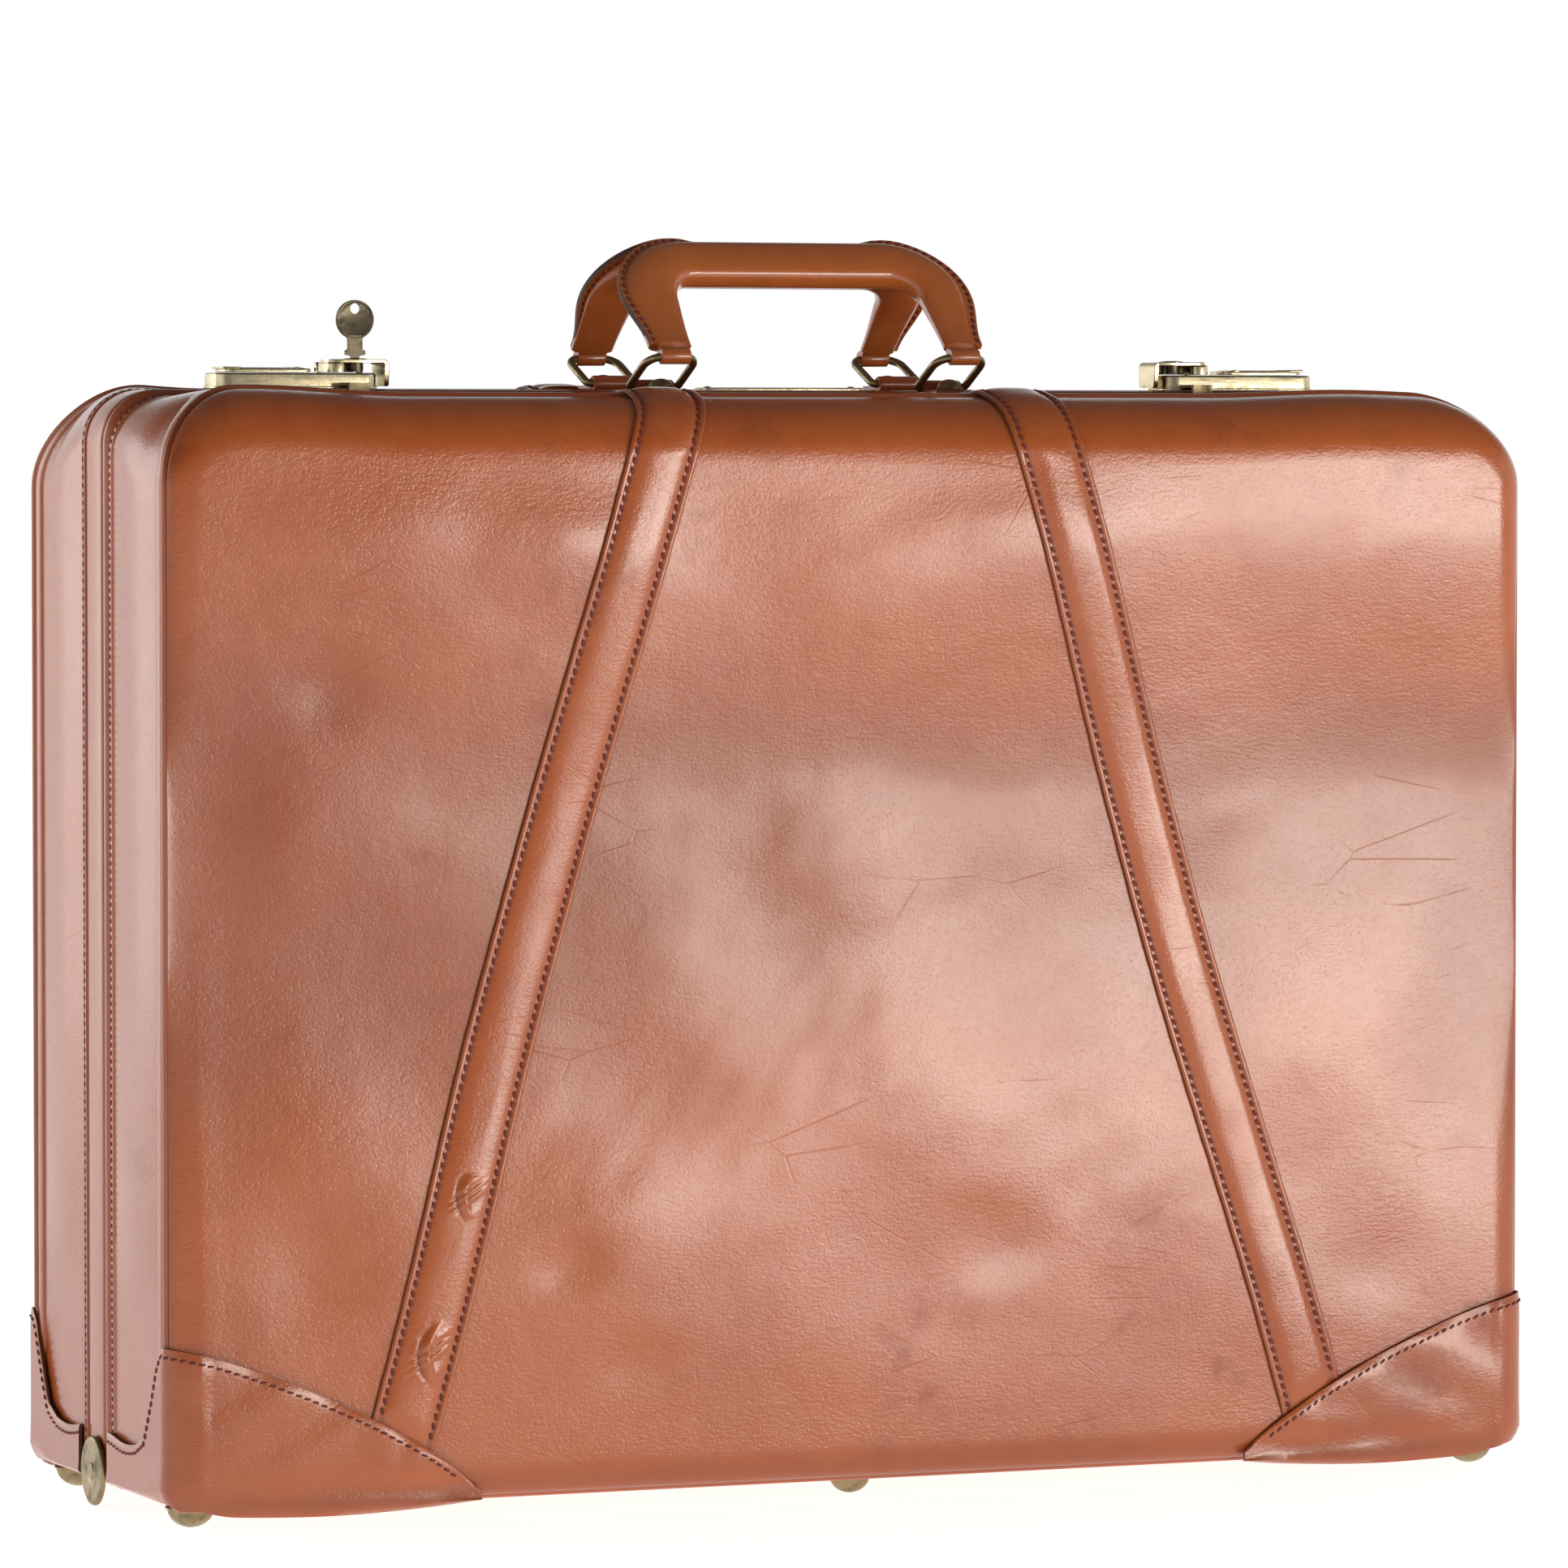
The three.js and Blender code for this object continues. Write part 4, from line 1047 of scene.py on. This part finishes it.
def handle(half):
    """A grip in one piece with its legs, its stitched flange, and the eyes for the rings."""
    side = SIDE[half]
    body = f"{half}_handle"
    lean = math.radians(HANDLE_LEAN)
    up = np.array((0.0, -side * math.sin(lean), math.cos(lean)))
    front = np.array((0.0, side * math.cos(lean), math.sin(lean)))
    foot = np.array((0.0, BAR[half][0] + ring_run(half)[1], RING_TOP_Z))

    def place(u, s, t):
        """u along the case, s up the leaning plane, t out of it, away from the middle."""
        spot = foot + up * s + front * t
        return u, spot[1], spot[2]

    def breadth(s, a):
        return 15.6 + 4.6 * float(ease((s - 5.5) / 40)) + 1.8 * (1 - a / 90)

    leg, grip, corner = 66.5, 56, 22
    right = [(leg, s, 90.0) for s in np.linspace(5.5, grip - corner, 12)]
    for a in np.linspace(90, 0, 15)[1:]:
        c, s = math.cos(math.radians(a)), math.sin(math.radians(a))
        right.append((leg - corner + corner * s, grip - corner + corner * c, a))
    right += [(u, grip, 0.0) for u in np.linspace(leg - corner, 0, 14)[1:]]
    rings = []
    for u, s, a in right + [(-u, s, -a) for u, s, a in reversed(right[:-1])]:
        wide = breadth(s, a)
        deep = 6.0 + 8.0 * ease((s - 8) / 46)
        nu, ns = math.sin(math.radians(a)), math.cos(math.radians(a))
        ring = []
        for turn in np.arange(32) / 32 * 2 * math.pi:
            c, d = math.cos(turn), math.sin(turn)
            squareness = 0.78
            along = math.copysign(abs(c) ** squareness, c) * wide / 2
            across = math.copysign(abs(d) ** squareness, d) * deep / 2
            ring.append(place(u + nu * along, s + ns * along, across))
        rings.append(ring)
    shape = Shape().skin(rings)

    flange, thread_rows = Shape(), Shape()
    thick, shift = 1.5, 0.8
    for hand in (-1, 1):
        strip, path = [], []
        for u, s, a in right[:32]:
            nu, ns = math.sin(math.radians(a)), math.cos(math.radians(a))
            fade = float(ease((u - 30) / 22))
            inner = breadth(s, a) / 2 - 3.0
            outer = breadth(s, a) / 2 - 0.6 + (2.2 + 2.6 * float(ease((s - 8) / 25))) * fade
            section = [
                (inner, shift - thick), (outer - 0.3, shift - thick), (outer, shift - thick + 0.4),
                (outer, shift - 0.15), (outer - 0.5, shift), (outer, shift + 0.15),
                (outer, shift + thick - 0.4), (outer - 0.3, shift + thick), (inner, shift + thick),
            ]
            strip.append([place(hand * (u + nu * w), s + ns * w, t) for w, t in section])
            if fade > 0.25:
                mark = outer - 1.9
                path.append(place(hand * (u + nu * mark), s + ns * mark, shift + thick))
        flange.skin(strip, columns=[0, 1, 1, 1, 1, 1, 1, 0, 0])
        out = np.tile(front, (len(path), 1))
        stitches(thread_rows, path, out, pitch=4.1, length=3.2, radius=0.62, slant=0.2)
        stitches(thread_rows, np.array(path) - 2 * thick * out, -out, pitch=3.7, length=2.8)

    eye = 3.5
    loop = [(eye * c, eye * s) for c, s in arc(115, 425, 22)] + [(1.5, 8.0), (-1.5, 8.0)]
    for hand in (-1, 1):
        shape.skin([
            [place(hand * HANDLE_X + x, s, t * k) for t, s in loop]
            for x, k in ((-6.5, 0.9), (-6.1, 1.0), (0, 1.0), (6.1, 1.0), (6.5, 0.9))
        ])
    made = piece(f"{body}_grip", shape, body, HANDLE_LEATHER, [body])
    grime_and_shade(made, 0.35 * bump(measure(made, 2) - RING_TOP_Z, 12))
    piece(f"{body}_seam", flange, body, [HANDLE_LEATHER, RAW_EDGE])
    piece(f"thread_{body}", thread_rows, body, THREAD)


# ---- locks ----
def lock(name):
    """The case of a lock with its hinge posts, its thumb slide, and its hasp."""
    hand = HANDS[name]
    inner = LOCK_CENTRE[name] - hand * LOCK_LENGTH / 2

    def at(u):
        return inner + hand * u

    def knuckle(shape, u, length):
        profile = [(0, 0), (1.9, 0), (2.1, 0.3), (2.1, length - 0.3), (1.9, length), (0, length)]
        turned(shape, profile, (at(u) - length / 2, *PIVOT), (1, 0, 0), sides=24)

    shape = Shape()
    plate(shape, LOCK_LENGTH, LOCK_DEPTH, 6.5, LOCK_BASE_Z, LOCK_BASE_Z + 1.0, LOCK_CENTRE[name],
          LOCK_Y, edge=0.3)
    plate(shape, LOCK_LENGTH - 1.2, LOCK_DEPTH - 1.2, 6, LOCK_BASE_Z + 0.8, LOCK_TOP_Z,
          LOCK_CENTRE[name], LOCK_Y, edge=0.9, steps=9)
    for u in (PIN_IN - 8.9, PIN_IN + 8.9):
        knuckle(shape, u, 3.0)
        plate(shape, 3, 3.8, 0.8, LOCK_TOP_Z - 1, PIVOT[1], at(u), PIVOT[0] - 0.1, edge=0.2)
    pin = [(0, 0), (1.0, 0.1), (1.0, 17.9), (0, 18)]
    turned(shape, pin, (at(PIN_IN) - 9, *PIVOT), (1, 0, 0), sides=16)
    piece(f"lock_case_{name}_shell", shape, "back_half", BRASS, [f"lock_case_{name}"])

    # The slide: a plate, a raised end, a ramp in front and ribs for the thumb.
    shape = Shape()
    low, high = LOCK_TOP_Z + 0.3, LOCK_TOP_Z + 2.5
    plate(shape, 38, 18, 4, low, high - 0.7, at(48), LOCK_Y, edge=0.5, steps=7)
    plate(shape, 8, 15.5, 1.2, high - 0.9, high, at(64), LOCK_Y, edge=0.4)
    ramp = []
    for u, top, wide in ((29.4, high - 1.2, 14.0), (31.0, high - 0.8, 15.2), (35.6, high, 15.6),
                         (36.6, high - 0.1, 15.4)):
        ramp.append([(at(u), LOCK_Y + dy * wide / 2, z) for dy, z in (
            (-1, low), (-1, top - 0.4), (-0.95, top), (0.95, top), (1, top - 0.4), (1, low))])
    shape.skin(ramp)
    ribs, first_rib, rib_pitch = 18, 38, 1.25
    for i in range(ribs):
        plate(shape, 0.85, 14.5, 0.3, high - 0.9, high - 0.25, at(first_rib + rib_pitch * i), LOCK_Y,
              edge=0.25, steps=2)
    piece(f"lock_slide_{name}_thumb", shape, f"slide_{name}", BRASS, [f"lock_slide_{name}"])

    # The hasp: a block, and one bent strip given by u, z, outward u and z, half width, thickness.
    shape = Shape()
    y = LOCK_Y - 1
    plate(shape, 8, 17.5, 3.6, LOCK_TOP_Z + 0.3, HASP_TOP_Z - 1.3, at(18.0), y, edge=0.8, steps=9)
    end, corner, bend, leg_u, thin, thick = 21.4, 5, 2.7, -4.6, 1.5, 2.1
    middle_u, middle_z = leg_u + bend, HASP_TOP_Z - bend
    strip = []
    rounding = end - corner + corner * np.sin(np.linspace(math.pi / 2, 0, 9))
    for u in (*rounding, 8.0, middle_u):
        wide = 3.5 + math.sqrt(max(corner**2 - max(u - end + corner, 0) ** 2, 0.3))
        strip.append((u, HASP_TOP_Z, 0.0, 1.0, wide, thin))
    for (c, s), bent in list(zip(arc(90, 180, 8), np.linspace(thin, thick, 8)))[1:]:
        strip.append((middle_u + bend * c, middle_z + bend * s, c, s, 8.3, bent))
    for up, wide in ((4.0, 8.0), (1.8, 7.6), (1.0, 6.8)):
        strip.append((leg_u, LOCK_BASE_Z + up, -1.0, 0.0, wide, thick))
    rings = []
    for u, z, nu, nz, wide, deep in strip:
        rings.append([
            (at(u - nu * inward), y + dy, z - nz * inward) for dy, inward in (
                (-wide, 0.35), (-wide + 0.35, 0.0), (wide - 0.35, 0.0), (wide, 0.35),
                (wide, deep - 0.2), (wide - 0.2, deep), (-wide + 0.2, deep), (-wide, deep - 0.2))
        ])
    shape.skin(rings)
    knuckle(shape, PIN_IN, 13.6)
    plate(shape, 13.6, 7, 0.6, PIVOT[1] - 1.4, PIVOT[1] + 1.6, at(PIN_IN), 11.5, edge=0.4)
    collar = [(3.75, 0), (5.2, 0), (5.2, 0.35), (4.9, 0.6), (3.9, 0.6), (3.75, 0.4)]
    turned(shape, collar, (at(PLUG_IN), PLUG_Y, HASP_TOP_Z - 0.2), (0, 0, 1), sides=36)
    piece(f"hasp_{name}_plate", shape, f"hasp_{name}", BRASS, [f"hasp_{name}"])


def plug(name):
    """The turning core of a lock: a short cylinder with a keyway."""
    hand = HANDS[name]
    x = LOCK_CENTRE[name] - hand * LOCK_LENGTH / 2 + hand * PLUG_IN
    low, high = LOCK_TOP_Z + 0.6, HASP_TOP_Z + 0.55
    radius, way_x, way_y, way_depth = 3.4, 2.2, 0.95, 2.5
    turns = [(math.cos(a), math.sin(a)) for a in np.arange(36) * 2 * math.pi / 36]
    rings = [
        [(x + r * c, PLUG_Y + r * s, z) for c, s in turns]
        for r, z in ((radius, low), (radius, high - 0.2), (radius - 0.2, high))
    ]
    way = [min(way_x / max(abs(c), 1e-6), way_y / max(abs(s), 1e-6)) for c, s in turns]
    for z in (high, high - way_depth):
        rings.append([(x + r * c, PLUG_Y + r * s, z) for r, (c, s) in zip(way, turns)])
    node = f"lock_plug_{name}"
    piece(f"{node}_core", Shape().skin(rings), f"plug_{name}", KEY_METAL, [node], sharp=30)


def key():
    """A flat stamped key: round bow with a hole, raised rim, shouldered neck and blade."""
    x = LOCK_CENTRE["left"] + LOCK_LENGTH / 2 - PLUG_IN
    y, bow_z, bow, hole, hole_up = PLUG_Y, 492.6, 8.2, 2.3, 4.6
    turns = np.arange(72) * 2 * math.pi / 72
    turns = np.stack([np.cos(turns), np.sin(turns)], 1)
    centre, hole_centre = np.array((0, bow_z)), np.array((0, bow_z + hole_up))
    outer, inner = centre + bow * turns, hole_centre + hole * turns
    rings = []
    for points, t in (
        (inner, 0.95), (inner + (inner - hole_centre) * 0.12, 1.0),
        (centre + (outer - centre) * 0.86, 0.8), (centre + (outer - centre) * 0.9, 1.0),
        (centre + (outer - centre) * 0.97, 1.0), (outer, 0.8),
    ):
        rings.append([(x + px, y - t, pz) for px, pz in points])
    back = [[(px, 2 * y - py, pz) for px, py, pz in ring] for ring in reversed(rings)]
    shape = Shape().skin(rings + back, closed=True)
    neck = [
        (-3.9, bow_z - 6.6), (-3.2, bow_z - 8.2), (-3.2, HASP_TOP_Z + 4.2), (-4.4, HASP_TOP_Z + 3.6),
        (-4.4, HASP_TOP_Z + 2.0), (-1.8, HASP_TOP_Z + 1.4), (-1.8, HASP_TOP_Z - 1.6),
    ]
    outline = neck + [(-px, pz) for px, pz in reversed(neck)]
    rings = []
    for t, k in ((-0.95, 0.94), (-0.75, 1.0), (0.75, 1.0), (0.95, 0.94)):
        rings.append([(x + px * k, y + t, pz) for px, pz in outline])
    shape.skin(rings)
    piece("key_blank", shape, "key", KEY_METAL, ["key"], sharp=35)


def top_plate():
    low, high = (v.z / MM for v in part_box("top_plate"))
    shape = Shape()
    plate(shape, 74, 14, 3, low, high, 0, 3, edge=0.4, crown=0.1)
    for x in (-33, 33):
        turned(shape, [(0, 0), (1.7, 0), (1.6, 0.35), (1.1, 0.6), (0, 0.7)], (x, 3, high - 0.1),
               (0, 0, 1), sides=20)
    piece("top_plate_bar", shape, "back_half", BRASS, ["top_plate"])


# ---- inside ----
def lining_face(half):
    """Distance of the lining's floor from the middle plane, clear of the sagged board."""
    return FACE_Y - WALL - 1 - 1.15 * SAG[half][0]


def lining(half):
    rim = RIM[half]
    box_low, box_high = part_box(f"{half}_lining")
    mouth = (-box_high.y if half == "front" else box_low.y) / MM
    gap = WALL + 0.5
    deep = CREST_Y - SEAM_STEP
    face = lining_face(half)

    def layer(lift):
        rings = []
        for t in np.linspace(0, 1, 14):
            y = mouth + (deep - mouth) * t
            puff = 0.35 * math.sin(math.pi * t)
            rings.append(rim.ring(gap + lift + puff, y))
        for c, s in arc(0, 90, 9)[1:]:
            inset = gap + lift + (TOP_ROLL + 4) * (1 - c)
            rings.append(rim.ring(inset, deep + (face - lift - deep) * s))
        edge = rings[-1]
        for scale in np.linspace(1, 0.03, 22)[1:]:
            x = edge[:, 0] * scale
            z = rim.middle + (edge[:, 2] - rim.middle) * scale
            puff = 0.4 * ripple(x, z, 60, 21) - 0.4
            rings.append(np.stack([x, rim.side * (face - lift + np.minimum(puff, 0)), z], 1))
        return rings

    shape = Shape()
    shape.dish(layer(1.1), (0, rim.side * (face - 1.1), rim.middle))
    made = piece(f"{half}_lining_cloth", shape, BODY[half], LINING, [f"{half}_lining"])
    thicken(made, 0.9, 0)


def pocket():
    """A ruffled pocket on the lid's lining with an elastic top hem."""
    low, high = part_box("lid_pocket")
    x0, x1, z0, z1 = low.x / MM, high.x / MM, low.z / MM, high.z / MM
    y = 4.0 - lining_face("front")
    across, up = 150, 26
    rings = []
    for j in range(up + 1):
        v = j / up
        row = []
        for i in range(across + 1):
            u = i / across
            x = x0 + (x1 - x0) * u
            hold = float(ease(u / 0.04) * ease((1 - u) / 0.04))
            fold = math.sin(u * 2 * math.pi * 27 + 0.8 * math.sin(u * 21)) * (0.25 + 0.75 * v**1.5)
            belly = 1.6 * math.sin(math.pi * min(v * 1.05, 1)) * math.sin(math.pi * u)
            row.append((x, y + hold * (0.9 * fold + belly), z0 + (z1 - z0) * v))
        rings.append(row)
    front = np.array(rings)
    faces = []
    size = across + 1
    for j in range(up):
        for i in range(across):
            a = j * size + i
            faces.append((a, a + 1, a + size + 1, a + size))
    made = piece("lid_pocket_cloth", Shape().add(front, faces), "lid", LINING, ["lid_pocket"])
    thicken(made, 0.7, 0)
    hem = Shape()
    hem_radius = 1.5
    tube(hem, front[-1] - np.array((0, 0, hem_radius)), hem_radius, 8, (0, 1, 0))
    hem_piece = piece("lid_pocket_hem", hem, "lid", LINING)


# ---- build ----
for half in SIDE:
    panel(half)
    gusset(half)
    piping(half)
    lining(half)
    for hand_name in HANDS:
        strap(half, hand_name)
        patch(half, hand_name)
        wire_ring(half, hand_name)
        chape(half, hand_name)
    handle(half)
front_rim = RIM["front"]
seam_row("thread_hem", front_rim, 0.62 * front_rim.sides, SPLIT_EDGE["front"] + 2.2, "lid",
         pitch=3.4, length=2.6, radius=0.36)
split_trim()
feet()
discs()
for lock_name in HANDS:
    lock(lock_name)
    plug(lock_name)
key()
top_plate()
pocket()

# The strikes are given the darker aged brass rather than the lock brass as painted shade, so that they
# read as lying in shadow.
for node, material in (
    ("hinge_leaf_front", AGED_BRASS), ("hinge_leaf_back", AGED_BRASS), ("hinge_pin", AGED_BRASS),
    ("frame_tongue", BOARD), ("strike_left", AGED_BRASS), ("strike_right", AGED_BRASS),
):
    mesh = frame["nodes"][node].data
    mesh.materials.clear()
    mesh.materials.append(material)


# ---- stage, camera and light ----
def stage():
    """A pale floor that ends behind the case, where it meets the white of the world."""
    paint = Paint("floor", Roughness=0.7, Emission_Color=(1, 1, 1), Emission_Strength=0.85)
    cloud = paint.span(paint.noise(2), 0.3, 0.7)
    paint.set("Base Color", paint.mix(cloud, (0.90, 0.90, 0.90), (0.93, 0.93, 0.93)))
    mesh = bpy.data.meshes.new("floor")
    reach, back = 9.0, 4.0
    corners = [(x, y, 0.0) for y in (-reach, back) for x in (-reach, reach)]
    mesh.from_pydata(corners, [], [(0, 1, 3, 2)])
    mesh.materials.append(paint.material)
    floor = bpy.data.objects.new("floor", mesh)
    bpy.context.scene.collection.objects.link(floor)


CAMERA_PLACE = (-1.38487, -3.36304, 0.44403)
CAMERA_TURN = -0.3909
CAMERA_DIP = 0.0408
CAMERA_LENS = 195.73


def camera():
    data = bpy.data.cameras.new("camera")
    data.sensor_width = 36
    data.lens = CAMERA_LENS
    data.clip_end = 60
    made = bpy.data.objects.new("camera", data)
    made.location = CAMERA_PLACE
    made.rotation_euler = (math.pi / 2 - CAMERA_DIP, 0, CAMERA_TURN)
    bpy.context.scene.collection.objects.link(made)
    bpy.context.scene.camera = made


def softbox(name, place, target, width, height, radiance, tint=(1, 1, 1)):
    """An area light of a given radiance, so that its size changes only how soft it is."""
    data = bpy.data.lights.new(name, "AREA")
    data.shape = "RECTANGLE"
    data.size = width
    data.size_y = height
    data.energy = radiance * math.pi * width * height
    data.color = tint
    made = bpy.data.objects.new(name, data)
    made.location = place
    heading = Vector(target) - Vector(place)
    made.rotation_euler = heading.to_track_quat("-Z", "Y").to_euler()
    made.visible_camera = False
    bpy.context.scene.collection.objects.link(made)


def world():
    """White at the horizon, dim overhead and in front, where the light stands."""
    made = bpy.data.worlds.new("world")
    made.use_nodes = True
    tree = made.node_tree
    place = add_node(tree, "ShaderNodeTexCoord").outputs["Generated"]
    split = add_node(tree, "ShaderNodeSeparateXYZ", {0: place})
    ramp = add_node(tree, "ShaderNodeValToRGB", {"Fac": split.outputs["Z"]})
    for stop, position, level in zip(ramp.color_ramp.elements, (0.25, 0.5), (1.0, 0.10)):
        stop.position = position
        stop.color = (level, level, level, 1)
    front = add_node(tree, "ShaderNodeMapRange", {
        "Value": split.outputs["Y"], "From Min": -0.8, "From Max": -0.4, "To Min": 0.3, "To Max": 1.0,
    })
    back = tree.nodes["Background"]
    feed(tree, back.inputs["Color"], ramp.outputs["Color"])
    feed(tree, back.inputs["Strength"], front.outputs["Result"])
    bpy.context.scene.world = made


stage()
camera()
world()
softbox("front_light", (1.98, -3.3, 0.31), (0.0, 0.0, 0.25), 1.6, 0.50, 16.0, (1.0, 0.94, 0.87))
softbox("end_light", (-2.0, 2.4, 0.7), (-0.3, 0.0, 0.25), 1.6, 1.6, 1.45)
bpy.context.scene.view_settings.view_transform = "Standard"

bpy.context.view_layer.update()
